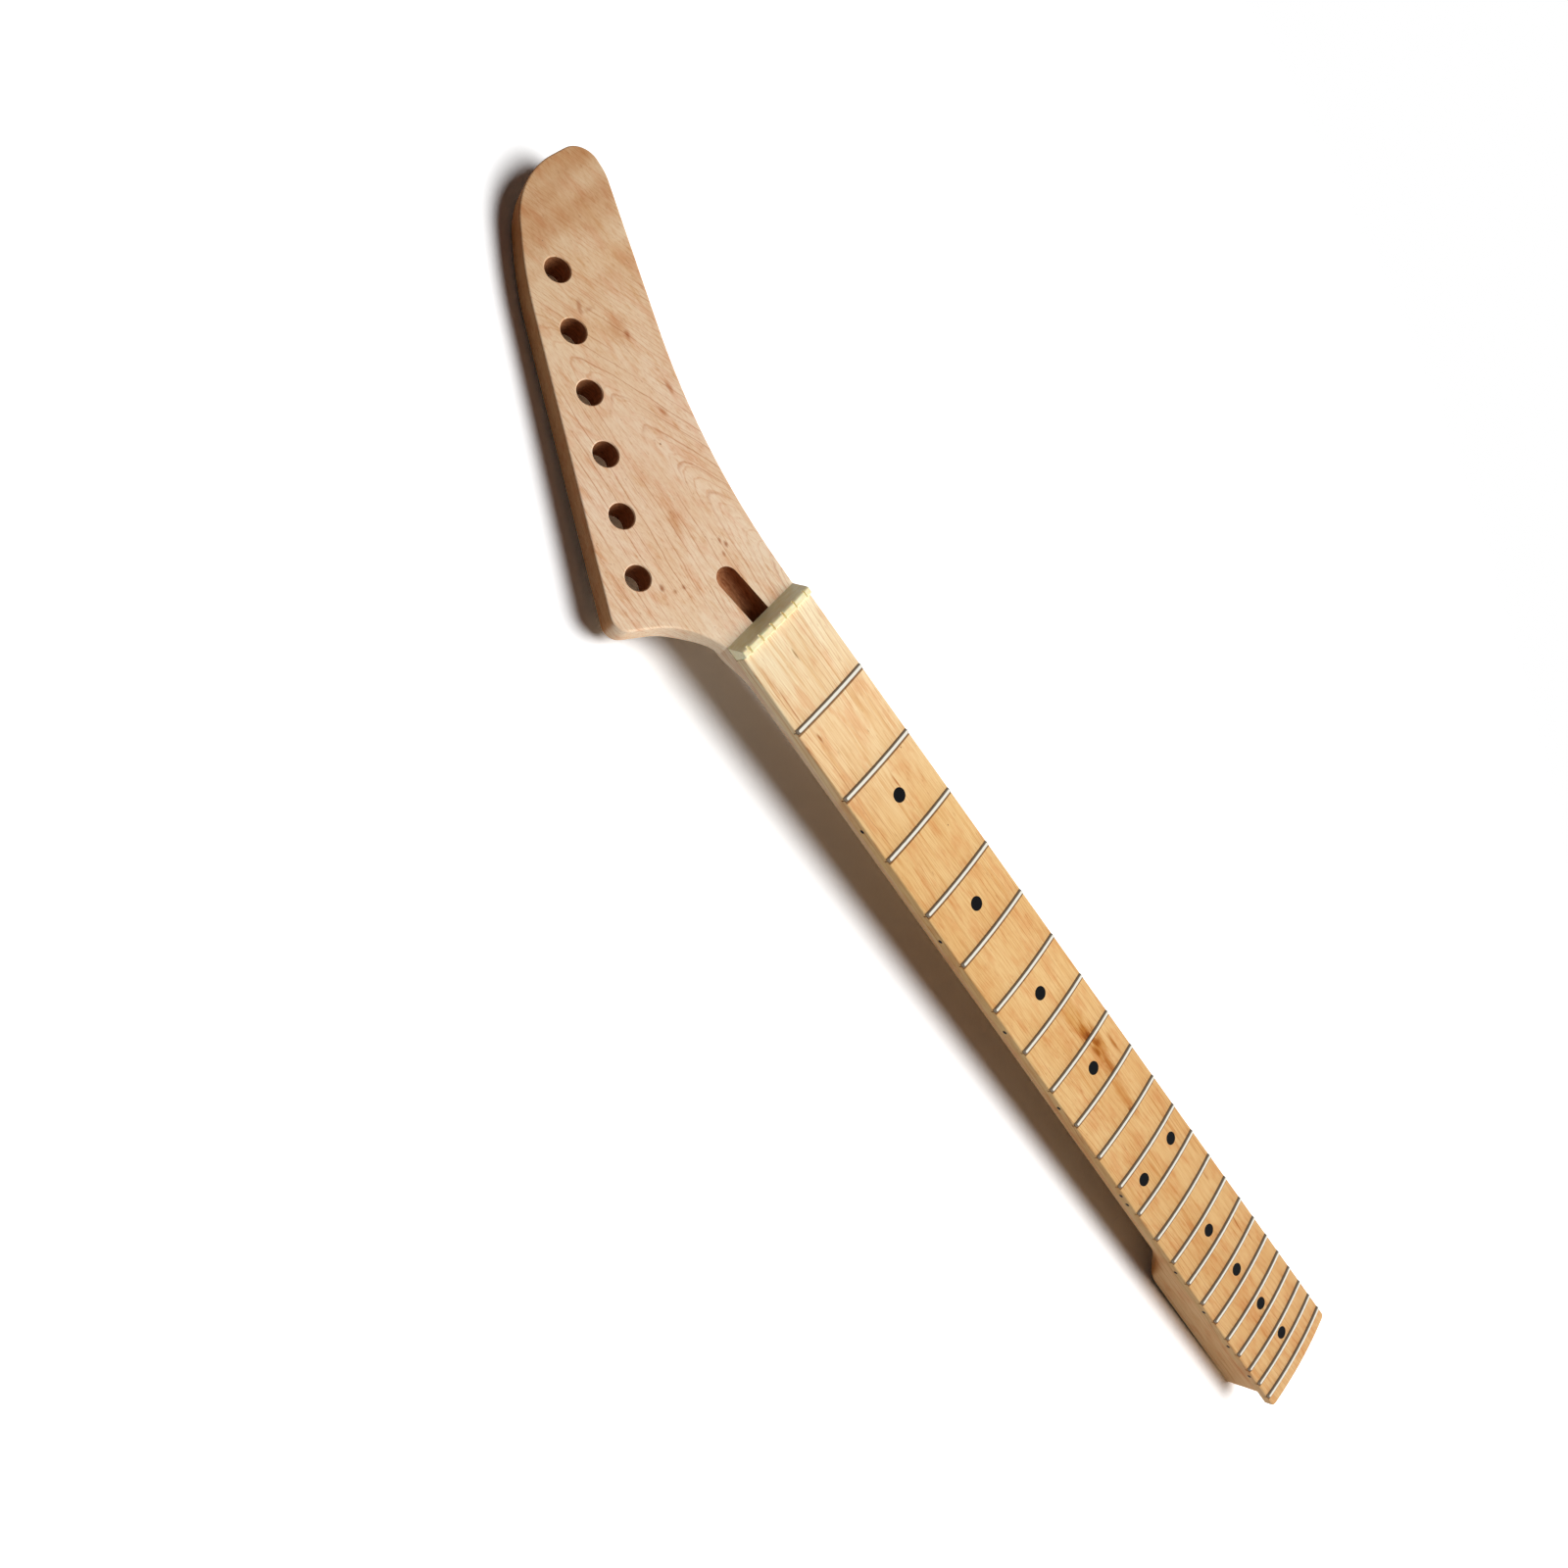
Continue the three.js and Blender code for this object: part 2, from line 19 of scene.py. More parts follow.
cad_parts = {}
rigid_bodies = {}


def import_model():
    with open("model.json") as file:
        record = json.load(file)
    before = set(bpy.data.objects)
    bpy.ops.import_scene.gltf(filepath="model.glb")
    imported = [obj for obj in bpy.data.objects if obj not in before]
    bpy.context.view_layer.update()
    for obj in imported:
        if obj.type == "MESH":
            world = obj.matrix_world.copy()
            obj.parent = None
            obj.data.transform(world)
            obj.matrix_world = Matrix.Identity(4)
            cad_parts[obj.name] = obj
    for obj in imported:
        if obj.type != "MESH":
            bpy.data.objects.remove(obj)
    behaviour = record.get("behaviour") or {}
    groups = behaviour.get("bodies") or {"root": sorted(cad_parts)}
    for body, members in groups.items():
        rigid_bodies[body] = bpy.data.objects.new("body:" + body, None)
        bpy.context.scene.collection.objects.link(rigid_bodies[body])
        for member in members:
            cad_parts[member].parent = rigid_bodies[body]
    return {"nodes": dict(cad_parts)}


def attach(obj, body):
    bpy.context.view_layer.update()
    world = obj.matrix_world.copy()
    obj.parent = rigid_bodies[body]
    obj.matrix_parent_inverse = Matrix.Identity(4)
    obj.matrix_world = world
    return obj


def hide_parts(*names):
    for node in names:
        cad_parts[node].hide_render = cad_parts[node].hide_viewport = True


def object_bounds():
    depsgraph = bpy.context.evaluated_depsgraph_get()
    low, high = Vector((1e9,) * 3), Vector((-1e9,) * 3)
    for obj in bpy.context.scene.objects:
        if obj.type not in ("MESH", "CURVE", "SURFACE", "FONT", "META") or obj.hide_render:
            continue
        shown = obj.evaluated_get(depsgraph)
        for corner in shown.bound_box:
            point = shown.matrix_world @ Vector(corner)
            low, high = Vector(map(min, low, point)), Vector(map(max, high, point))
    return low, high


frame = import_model()
cad_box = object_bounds()
MM = 0.001

# %% [markdown]
# ## Sizes
#
# These are the real sizes that the CAD model uses too. Distances along the neck are first
# measured from the nut line, where the strings leave the nut. `HEEL_X` then moves them to
# the model's origin, which is the middle of the heel's back.

# %% Sizes in millimetres
SCALE_LENGTH = 648
FRETS = range(1, 23)
NUT_WIDTH, BOARD_END_WIDTH = 42, 57.2
BOARD_THICKNESS, BOARD_RADIUS = 6.35, 241.3
BOARD_START, BOARD_TAIL = 0.5, 7.35
BOARD_CORNER, BOARD_ROLL = 1.2, 0.8
NUT_THICKNESS, NUT_RISE = 6.2, 1.9
HEEL_DEPTH, HEEL_LENGTH, HEEL_OVERHANG = 25.4, 81, 8.5
HEEL_CORNER, HEEL_EDGE = 2, 0.7
HEEL_FLARE, ROOT_CARVE = 33, 18
SHAFT_DEPTH, SHAFT_GAIN = 14.1, 1.8
HEAD_TILT = math.radians(12)
HEAD_THICKNESS = 13.3
TUNERS, TUNER_SPACING, TUNER_HOLE = 6, 24, 10.2
ROW_ANGLE = math.radians(31.8)
FIRST_TUNER = Vector((41.4, -28.7))
ROD_Z, ROD_DIAMETER = 12.65, 4.8
BARREL_DIAMETER, BARREL_START, BARREL_LENGTH = 7.6, 2, 13
SLOT_WIDTH, SLOT_REACH, SLOT_END, SLOT_FLOOR = 9.9, 23.3, 15.3, 8.55
CHANNEL_WIDTH, CHANNEL_END, CHANNEL_FLOOR = 7.2, 423.01, 9.05


def fret_x(number):
    """Distance from the nut line to a fret, by equal temperament."""
    return SCALE_LENGTH * (1 - 2 ** (-number / 12))


BOARD_END = fret_x(22) + BOARD_TAIL
HEEL_END = BOARD_END - HEEL_OVERHANG
HEEL_START = HEEL_END - HEEL_LENGTH
FLARE_START = HEEL_START - HEEL_FLARE
FOOT = BOARD_START - NUT_THICKNESS
HEEL_X = (HEEL_START + HEEL_END) / 2
LEDGE = HEEL_DEPTH - BOARD_THICKNESS
TILT_COS, TILT_SIN = math.cos(HEAD_TILT), math.sin(HEAD_TILT)
print("board ends", round(BOARD_END - HEEL_X, 2), "heel ends", round(HEEL_END - HEEL_X, 2))

# %% [markdown]
# ## Curves that several pieces share
#
# The neck tapers evenly from the nut to the body end, and the board's top is part of a
# wide cylinder. `FOOT` is where the nut's back meets the headstock, and `LEDGE` is the
# height of the glue line under the board.


# %% Shared curves
def half_width(x):
    """Half the neck's width at x."""
    share = (max(x, FOOT) - BOARD_START) / (BOARD_END - BOARD_START)
    return (NUT_WIDTH + (BOARD_END_WIDTH - NUT_WIDTH) * share) / 2


def crown_drop(y):
    """How far the board's round top lies below its middle at y."""
    return BOARD_RADIUS - math.sqrt(BOARD_RADIUS**2 - y**2)


def board_z(y):
    return HEEL_DEPTH - crown_drop(y)


def clamp(share):
    return min(max(share, 0), 1)


def ease(share):
    """Goes from 0 to 1 with a soft start and a soft end."""
    share = clamp(share)
    return share**3 * (share * (share * 6 - 15) + 10)


def corner_loss(radius, to_end):
    """What a round corner takes off, at a distance from its end."""
    into = max(0, radius - to_end)
    return radius - math.sqrt(max(0, radius**2 - into**2))


def spread(start, end, steps):
    return [start + (end - start) * i / steps for i in range(steps + 1)]


def at(x, y, z):
    """A point given from the nut line in millimetres, as a point of the model in metres."""
    return Vector(((x - HEEL_X) * MM, y * MM, z * MM))


def on_head(along, across, down):
    """A point of the headstock: along its face from the nut's foot, across, and down into it."""
    x = FOOT - along * TILT_COS + down * TILT_SIN
    return at(x, across, LEDGE - along * TILT_SIN - down * TILT_COS)


print("half widths:", round(half_width(BOARD_START), 2), round(half_width(BOARD_END), 2))

# %% [markdown]
# ## Mesh tools
#
# `loft` bridges rings of points into a closed skin, for free shapes. Round pieces are spun
# on a `lathe`, as a turner would make them, and boxes come from a cube. `carve` cuts or
# joins solids exactly.
#
# `finish_mesh` keeps the sharp edges sharp and lets the flat faces keep their own normals,
# so wide flat wood stays flat right up to its rounded edges.


# %% Mesh tools
def new_object(name, mesh):
    piece = bpy.data.objects.new(name, mesh)
    bpy.context.scene.collection.objects.link(piece)
    return piece


def object_from(name, bm):
    """Turns the faces outwards and makes the mesh an object of the scene."""
    bmesh.ops.recalc_face_normals(bm, faces=bm.faces)
    mesh = bpy.data.meshes.new(name)
    bm.to_mesh(mesh)
    bm.free()
    return new_object(name, mesh)


def loft(name, rings):
    """A closed skin through rings that all have the same number of points."""
    bm = bmesh.new()
    loops = []
    for ring in rings:
        verts = [bm.verts.new(p) for p in ring]
        loops.append([bm.edges.new(pair) for pair in zip(verts, verts[1:] + verts[:1])])
    for a, b in zip(loops, loops[1:]):
        bmesh.ops.bridge_loops(bm, edges=a + b)
    bmesh.ops.contextual_create(bm, geom=loops[0])
    bmesh.ops.contextual_create(bm, geom=loops[-1])
    return object_from(name, bm)


# %% Cutting and joining
def apply_modifiers(piece):
    graph = bpy.context.evaluated_depsgraph_get()
    graph.update()
    mesh = bpy.data.meshes.new_from_object(piece.evaluated_get(graph))
    piece.modifiers.clear()
    piece.data = mesh


def carve(target, tools, operation="DIFFERENCE"):
    """Cuts the tools out of the target, or joins them to it, and removes the tools."""
    tool = tools[0]
    if len(tools) > 1:
        bm = bmesh.new()
        for t in tools:
            bm.from_mesh(t.data)
        mesh = bpy.data.meshes.new("tools")
        bm.to_mesh(mesh)
        bm.free()
        tool = new_object("tools", mesh)
        tools = tools + [tool]
    step = target.modifiers.new("carve", "BOOLEAN")
    step.operation = operation
    step.solver = "EXACT"
    step.object = tool
    apply_modifiers(target)
    for t in tools:
        bpy.data.objects.remove(t)


# %% The finishing tool
WELD = 0.004


def finish_mesh(piece, sharp_angle=32):
    """Welds points closer than WELD, marks edges over the angle as sharp and smooths the rest."""
    bm = bmesh.new()
    bm.from_mesh(piece.data)
    bmesh.ops.remove_doubles(bm, verts=bm.verts, dist=WELD * MM)
    bmesh.ops.dissolve_degenerate(bm, edges=bm.edges, dist=WELD * MM)
    for face in bm.faces:
        face.smooth = True
    limit = math.radians(sharp_angle)
    for edge in bm.edges:
        edge.smooth = edge.is_manifold and edge.calc_face_angle(0) < limit
    bm.to_mesh(piece.data)
    bm.free()
    weigh = piece.modifiers.new("weigh", "WEIGHTED_NORMAL")
    weigh.keep_sharp = True
    weigh.weight = 80
    apply_modifiers(piece)
    piece.data.name = piece.name
    print(piece.name, "faces:", len(piece.data.polygons))
    return piece


# %% [markdown]
# ## Places
#
# A piece is easiest to shape upright at the origin. A place is a matrix that then carries
# it to the neck. A box needs none: it takes two corners, given from the nut line or on the
# tilted headstock.


# %% Places and simple shapes
def axes(x_axis, y_axis, z_axis, origin):
    """A place: where a shape's own X, Y and Z axes and its origin go."""
    place = Matrix((x_axis, y_axis, z_axis)).transposed().to_4x4()
    place.translation = origin
    return place


FROM_NUT = Matrix.Scale(MM, 4) @ Matrix.Translation((-HEEL_X, 0, 0))
HEAD_AXES = axes((-TILT_COS, 0, -TILT_SIN), (0, 1, 0), (TILT_SIN, 0, -TILT_COS), (FOOT, 0, LEDGE))
FROM_HEAD = FROM_NUT @ HEAD_AXES
ROD_AXIS = FROM_NUT @ axes((0, 0, 1), (0, -1, 0), (1, 0, 0), (0, 0, ROD_Z))
DOME_SKIN = 0.5


def box_between(name, low, high, place=at):
    """A box between two corners. place is at, or on_head for a box square to the headstock."""
    bm = bmesh.new()
    bmesh.ops.create_cube(bm, size=1.0)
    for vert in bm.verts:
        vert.co = place(*(b if share > 0 else a for a, b, share in zip(low, high, vert.co)))
    bm.normal_update()
    return object_from(name, bm)


def lathe(name, profile, place, sides=48, dome=None):
    """Spins a profile, a list of (radius, height), round a place's Z axis. dome says how far
    the top drops at each distance from the middle, and DOME_SKIN how thick that top is."""
    bm = bmesh.new()
    verts = [bm.verts.new((radius, 0, height)) for radius, height in profile]
    edges = [bm.edges.new(pair) for pair in zip(verts, verts[1:])]
    centre, upright = (0, 0, 0), (0, 0, 1)
    bmesh.ops.spin(
        bm, geom=verts + edges, cent=centre, axis=upright, angle=math.tau, steps=sides, use_merge=True
    )
    bmesh.ops.holes_fill(bm, edges=[edge for edge in bm.edges if edge.is_boundary], sides=0)
    if dome:
        for vert in bm.verts:
            if vert.co.z > -DOME_SKIN:
                vert.co.z -= dome(vert.co.y)
    bmesh.ops.transform(bm, matrix=place, verts=bm.verts)
    return object_from(name, bm)


# %% [markdown]
# ## The neck's wood
#
# The shaft is a row of cross-sections. Each is a superellipse: round along the shaft, and
# nearly square with soft corners at the heel and where the neck runs into the headstock.
# Behind the nut its underside meets the tilted back of the headstock in a gentle curve.

# %% The shaft's curves
ROOT_LENGTH, ROOT_REACH = 22, 26
ROOT_SQUARENESS, FULL_SQUARENESS = 0.55, 0.985
ROOT_LOSS, ROOT_LIFT, ROOT_LIFT_RUN = 1.5, 0.5, 8
BACK_BLEND = 2.4
RING_STEPS, CORNER_CROWDING = 112, 0.2


def squareness(x):
    """0 where the back is a half circle, 1 where it is a box."""
    at_root = ROOT_SQUARENESS * ease(1 - (x - FOOT) / ROOT_LENGTH)
    return max(ease((x - FLARE_START) / HEEL_FLARE), at_root)


def back_z(x):
    """Height of the neck's underside at the middle."""
    along = clamp((x - BOARD_START) / (FLARE_START - BOARD_START))
    shaft = SHAFT_DEPTH + SHAFT_GAIN * along
    depth = shaft + (LEDGE - shaft) * ease((x - FLARE_START) / HEEL_FLARE)
    head_back = LEDGE - HEAD_THICKNESS / TILT_COS + (x - FOOT) * math.tan(HEAD_TILT)
    apart = LEDGE - depth - head_back
    overlap = max(BACK_BLEND - abs(apart), 0) / BACK_BLEND
    return min(LEDGE - depth, head_back) - overlap**2 * BACK_BLEND / 4


def shaft_ring(x, shrink=0.0, lift=0.0):
    """A cross-section under the glue line, narrower by shrink a side and shallower by lift.
    Its points stand closer together at the corners."""
    corner = 1 + (math.sqrt(2) - 1) * squareness(x) * FULL_SQUARENESS
    exponent = math.log(2) / math.log(math.sqrt(2) / corner)
    half = half_width(x) - shrink
    depth = LEDGE - back_z(x) - lift
    points = []
    for turn in spread(0, math.pi, RING_STEPS):
        turn -= CORNER_CROWDING * math.sin(4 * (turn - math.pi / 4))
        c, s = math.cos(turn), math.sin(turn)
        reach = (abs(c) ** exponent + abs(s) ** exponent) ** (-1 / exponent)
        points.append(at(x, half * reach * c, LEDGE - depth * reach * s))
    return points


# %% The shaft and the heel
behind_nut, flare_end, inside_heel = FOOT + 20, HEEL_START + 4, HEEL_START + 30
stations = spread(FOOT - ROOT_REACH, behind_nut, 34) + spread(behind_nut, FLARE_START, 40)[1:]
stations += spread(FLARE_START, flare_end, 40)[1:] + [inside_heel]
rings = []
for x in stations:
    loss = ROOT_LOSS * clamp((FOOT - x) / ROOT_LENGTH)
    lift = ROOT_LIFT * clamp((FOOT - ROOT_LIFT_RUN - x) / ROOT_LIFT_RUN)
    rings.append(shaft_ring(x, shrink=loss, lift=lift))
for turn in spread(0, math.pi / 2, 12):
    x = HEEL_END - HEEL_CORNER * (1 - math.sin(turn))
    loss, lift = corner_loss(HEEL_CORNER, HEEL_END - x), corner_loss(HEEL_EDGE, HEEL_END - x)
    rings.append(shaft_ring(x, shrink=loss, lift=lift))
wood = loft("neck_wood", rings)
print("shaft faces:", len(wood.data.polygons))

# %% [markdown]
# ## The headstock
#
# Its outline is a chain of straight runs with round corners. Most corners are given beside
# the row of tuners: how far along the row from the first hole, and how far out from it.


# %% The headstock's outline
def beside_row(along, out):
    row = Vector((math.cos(ROW_ANGLE), math.sin(ROW_ANGLE)))
    return FIRST_TUNER + row * along + Vector((row.y, -row.x)) * out


def rounded(corners, step=1.2):
    """Points along a closed outline, about a step apart on its corners. corners lists
    (point, radius)."""
    points = []
    for i, (point, radius) in enumerate(corners):
        back = (corners[i - 1][0] - point).normalized()
        ahead = (corners[(i + 1) % len(corners)][0] - point).normalized()
        if radius == 0:
            points.append(point)
            continue
        half = math.acos(back.dot(ahead)) / 2
        reach = radius / math.tan(half)
        start = point + back * reach
        centre = point + (back + ahead).normalized() * (radius / math.sin(half))
        sweep = math.pi - 2 * half
        turn = math.copysign(1, back.x * ahead.y - back.y * ahead.x)
        count = max(6, round(radius * sweep / step))
        for k in range(count + 1):
            a = -turn * sweep * k / count
            arm = start - centre
            c, s = math.cos(a), math.sin(a)
            points.append(centre + Vector((arm.x * c - arm.y * s, arm.x * s + arm.y * c)))
    return points


# %% The headstock's corners
# Each corner: its point, and the radius that rounds it.
side = NUT_WIDTH / 2
last = (TUNERS - 1) * TUNER_SPACING
outline = rounded([
    (Vector((0, -side)), 0),
    (Vector((16.6, -side - 5)), 37.7),
    (beside_row(-19.7, 14.8), 6.4),
    (beside_row(last - 1.8, 13.6), 167),
    (beside_row(last + 37.5, 6.8), 37.3),
    (beside_row(last + 53.1, -24.7), 9),
    (beside_row(last + 38.7, -30.2), 18.9),
    (beside_row(47, -39.5), 300),
    (Vector((0, side)), 0),
])
print("outline points:", len(outline))

# %% The headstock's plate
FRONT_INSET, FRONT_EDGE = 4.0, 0.9
BACK_EDGE, ROOT_EDGE_REACH, ROOT_EDGE_DEPTH = 3.0, 9.0, 4.5
FRONT_STEPS, BACK_STEPS = 6, 14


def inward(i):
    """The way into the wood from a point of the outline."""
    if outline[i].x == 0:
        return Vector((0, -math.copysign(1, outline[i].y)))
    way = (outline[(i + 1) % len(outline)] - outline[i - 1]).normalized()
    return Vector((-way.y, way.x))


def plate_ring(step):
    """One ring of the plate: first one on the face, then those of the front edge, then those
    of the back edge. Near the nut the back edge's rounding grows until it is as round as
    the neck."""
    ring = []
    for i, p in enumerate(outline):
        if step == 0:
            loss, down = FRONT_INSET, 0.0
        elif step <= FRONT_STEPS + 1:
            turn = math.pi / 2 * (step - 1) / FRONT_STEPS
            loss, down = FRONT_EDGE * (1 - math.sin(turn)), FRONT_EDGE * (1 - math.cos(turn))
        else:
            near = ease(1 - p.x / ROOT_CARVE)
            reach, depth = BACK_EDGE + ROOT_EDGE_REACH * near, BACK_EDGE + ROOT_EDGE_DEPTH * near
            turn = math.pi / 2 * (step - FRONT_STEPS - 2) / BACK_STEPS
            loss = reach * (1 - math.cos(turn))
            down = HEAD_THICKNESS - depth * (1 - math.sin(turn))
        q = p + inward(i) * loss
        ring.append(on_head(q.x, q.y, down))
    return ring


plate = loft("plate", [plate_ring(step) for step in range(FRONT_STEPS + BACK_STEPS + 3)])
print("plate faces:", len(plate.data.polygons))

# %% [markdown]
# ## Joining and cutting the wood
#
# The shaft's root is trimmed just under the headstock's face and joined to the plate. Then
# come the tuner holes with a fine chamfer, the ball-nosed key slot, which runs on under the
# nut and gives the truss rod's barrel its room, and the channel for the rod.

# %% Cutters for the wood
HOLE_CHAMFER, OVERRUN = 0.4, 1
ABOVE_WOOD = LEDGE + 5


def tuner_cutter(index):
    """A rod that flares out past both faces, which gives the hole its chamfers."""
    radius, deep = TUNER_HOLE / 2, HEAD_THICKNESS - HOLE_CHAMFER
    wide = radius + HOLE_CHAMFER + OVERRUN
    profile = [(wide, -OVERRUN), (radius, HOLE_CHAMFER), (radius, deep), (wide, HEAD_THICKNESS + OVERRUN)]
    centre = beside_row(index * TUNER_SPACING, 0)
    return lathe("hole", profile, FROM_HEAD @ Matrix.Translation((*centre, 0)), sides=96)


def slot_cutter():
    """What a ball-nosed router bit takes out, from its nose to past the barrel."""
    radius = SLOT_WIDTH / 2
    nose = FOOT - SLOT_REACH * TILT_COS + radius
    axis_z = SLOT_FLOOR + radius
    turns = spread(math.radians(4), math.pi / 2, 16)
    places = [(nose - radius * math.cos(t), radius * math.sin(t)) for t in turns]
    made = []
    for x, half in places + [(SLOT_END, radius)]:
        ring = [at(x, -half, ABOVE_WOOD)]
        for t in spread(0, math.pi, 32):
            ring.append(at(x, -half * math.cos(t), axis_z - half * math.sin(t)))
        ring.append(at(x, half, ABOVE_WOOD))
        made.append(ring)
    return loft("slot", made)


# %% Joining and cutting
# The trim box takes what stands higher than 0.3 mm under the headstock's face.
trim_low, trim_high = (0, -40, -20), (60, 40, 0.3)
carve(wood, [box_between("trim", trim_low, trim_high, on_head)])
carve(wood, [plate], "UNION")
carve(wood, [tuner_cutter(i) for i in range(TUNERS)])
carve(wood, [slot_cutter()])
channel_low = (SLOT_END - OVERRUN, -CHANNEL_WIDTH / 2, CHANNEL_FLOOR)
channel_high = (CHANNEL_END, CHANNEL_WIDTH / 2, ABOVE_WOOD)
carve(wood, [box_between("channel", channel_low, channel_high)])
finish_mesh(wood)

# %% The cut faces
FACE_SKIN, SLACK = 0.3, 0.05


def is_cut_face(face):
    """True on the walls of the tuner holes, the key slot and the channel."""
    c = face.center / MM
    x, y, z = c.x + HEEL_X, c.y, c.z
    along = (FOOT - x) * TILT_COS + (LEDGE - z) * TILT_SIN
    down = (x - FOOT) * TILT_SIN + (LEDGE - z) * TILT_COS
    for i in range(TUNERS):
        from_hole = (Vector((along, y)) - beside_row(i * TUNER_SPACING, 0)).length
        if from_hole < TUNER_HOLE / 2 + 2 * SLACK and FACE_SKIN < down < HEAD_THICKNESS - FACE_SKIN:
            return True
    in_slot = abs(y) < SLOT_WIDTH / 2 + SLACK and FOOT - SLOT_REACH < x < CHANNEL_END + SLACK
    return in_slot and SLOT_FLOOR - SLACK < z < LEDGE - SLACK and down > FACE_SKIN


cut_faces = [face for face in wood.data.polygons if is_cut_face(face)]
print("cut faces:", len(cut_faces))

# %% [markdown]
# ## The fingerboard
#
# A flat-bottomed board with a round top, softly rolled long edges and rounded corners at
# the body end. Slots for the frets and sockets for the dots are cut into it.


# %% The fingerboard's shape
def board_ring(x):
    """A cross-section: up one side, over the rolled edge and the round top, and down."""
    half = half_width(x) - corner_loss(BOARD_CORNER, BOARD_END - x)
    side_top = board_z(half) - BOARD_ROLL
    edge = []
    for t in spread(0, math.pi / 2 - 0.1, 6)[1:]:
        edge.append((-half + BOARD_ROLL * (1 - math.cos(t)), side_top + BOARD_ROLL * math.sin(t)))
    top = spread(-half + BOARD_ROLL * 1.4, half - BOARD_ROLL * 1.4, 44)
    points = [at(x, -half, LEDGE), at(x, -half, LEDGE + 2), at(x, -half, side_top)]
    points += [at(x, y, z) for y, z in edge]
    points += [at(x, y, board_z(y)) for y in top]
    points += [at(x, -y, z) for y, z in reversed(edge)]
    points += [at(x, half, side_top), at(x, half, LEDGE + 2), at(x, half, LEDGE)]
    return points


board_stations = spread(BOARD_START, BOARD_END - BOARD_CORNER, 60)
board_stations += [BOARD_END - BOARD_CORNER * (1 - math.sin(t)) for t in spread(0, math.pi / 2, 8)[1:]]
board = loft("board_wood", [board_ring(x) for x in board_stations])
print("board rings:", len(board_stations))

# %% Bars across the board
TANG, TANG_DEPTH, SLOT_GAP = 0.6, 1.8, 0.04


def arc_bar(name, section, x, half, steps=40, ends=((0, 1),)):
    """A bar across the board that follows its round top. section lists (along, up) from the
    board's surface, and ends lists (setback, height share) of a filed end."""
    rings = [(half - setback, share) for setback, share in ends]
    inner = spread(rings[-1][0], -rings[-1][0], steps)[1:-1]
    rings += [(y, 1) for y in inner] + [(-y, share) for y, share in reversed(rings)]
    made = []
    for y, share in rings:
        ring = []
        for along, above in section:
            if above > 0:
                along, above = along * (0.8 + 0.2 * share), above * share
            ring.append(at(x + along, y, board_z(y) + above))
        made.append(ring)
    return loft(name, made)


slot_half, slot_depth = TANG / 2 + SLOT_GAP, TANG_DEPTH + SLOT_GAP
slot_section = [(-slot_half, -slot_depth), (slot_half, -slot_depth), (slot_half, 2), (-slot_half, 2)]
fret_cutters = []
for n in FRETS:
    past_side = half_width(fret_x(n)) + 2
    fret_cutters.append(arc_bar("cut", slot_section, fret_x(n), past_side, steps=20))
carve(board, fret_cutters)
print("fret slots:", len(fret_cutters))

# %% Where the dots sit
# The dots by the twelfth fret come in pairs, this far to both sides of the usual place.
FACE_PAIR, SIDE_PAIR = 12.7, 3.15
SINGLE_DOTS = (3, 5, 7, 9, 15, 17, 19, 21)


def between(number):
    """Halfway between a fret and the one before it."""
    return (fret_x(number) + fret_x(number - 1)) / 2


def face_place(x, y):
    """Where a face dot sits: its Z axis stands square on the round board."""
    c, s = math.cos(math.asin(y / BOARD_RADIUS)), y / BOARD_RADIUS
    return FROM_NUT @ axes((1, 0, 0), (0, c, -s), (0, s, c), (x, y, board_z(y)))


def side_place(x):
    """Where a side dot sits: its Z axis points out of the tapered bass side."""
    taper = math.atan((BOARD_END_WIDTH - NUT_WIDTH) / 2 / (BOARD_END - BOARD_START))
    half = half_width(x)
    c, s = math.cos(taper), math.sin(taper)
    return FROM_NUT @ axes((c, -s, 0), (0, 0, 1), (-s, -c, 0), (x, -half, (LEDGE + board_z(half)) / 2))


face_dots = {f"face_dot_{n}": (between(n), 0) for n in SINGLE_DOTS}
face_dots["face_dot_12_bass"] = (between(12), -FACE_PAIR)
face_dots["face_dot_12_treble"] = (between(12), FACE_PAIR)
side_dots = {f"side_dot_{n}": between(n) for n in SINGLE_DOTS}
side_dots["side_dot_12_head"] = between(12) - SIDE_PAIR
side_dots["side_dot_12_heel"] = between(12) + SIDE_PAIR
print("face dots:", len(face_dots), "side dots:", len(side_dots))

# %% Sockets for the dots
FACE_DOT_RADIUS, FACE_DOT_DEPTH = 3.175, 2.0
SIDE_DOT_RADIUS, SIDE_DOT_DEPTH = 1.0, 3.0
SOCKET_GAP, SOCKET_SPARE = 0.03, 0.05


def socket_cutter(place, radius, depth):
    wide = radius + SOCKET_GAP
    return lathe("socket", [(wide, -depth - SOCKET_SPARE), (wide, OVERRUN)], place)


cutters = [socket_cutter(face_place(x, y), FACE_DOT_RADIUS, FACE_DOT_DEPTH) for x, y in face_dots.values()]
cutters += [socket_cutter(side_place(x), SIDE_DOT_RADIUS, SIDE_DOT_DEPTH) for x in side_dots.values()]
carve(board, cutters)
finish_mesh(board)

# %% [markdown]
# ## Frets, dots and nut
#
# Each fret is one bar of half-round wire that follows the board's curve, with filed ends
# and a tang in its slot. The dots are plugs level with the wood. The nut's front leans
# back to a rounded crest with six string slots.

# %% Frets
CROWN_HALF, CROWN_HEIGHT, CROWN_SEAT = 1.2, 1.18, 0.02
FRET_SETBACK = 0.4
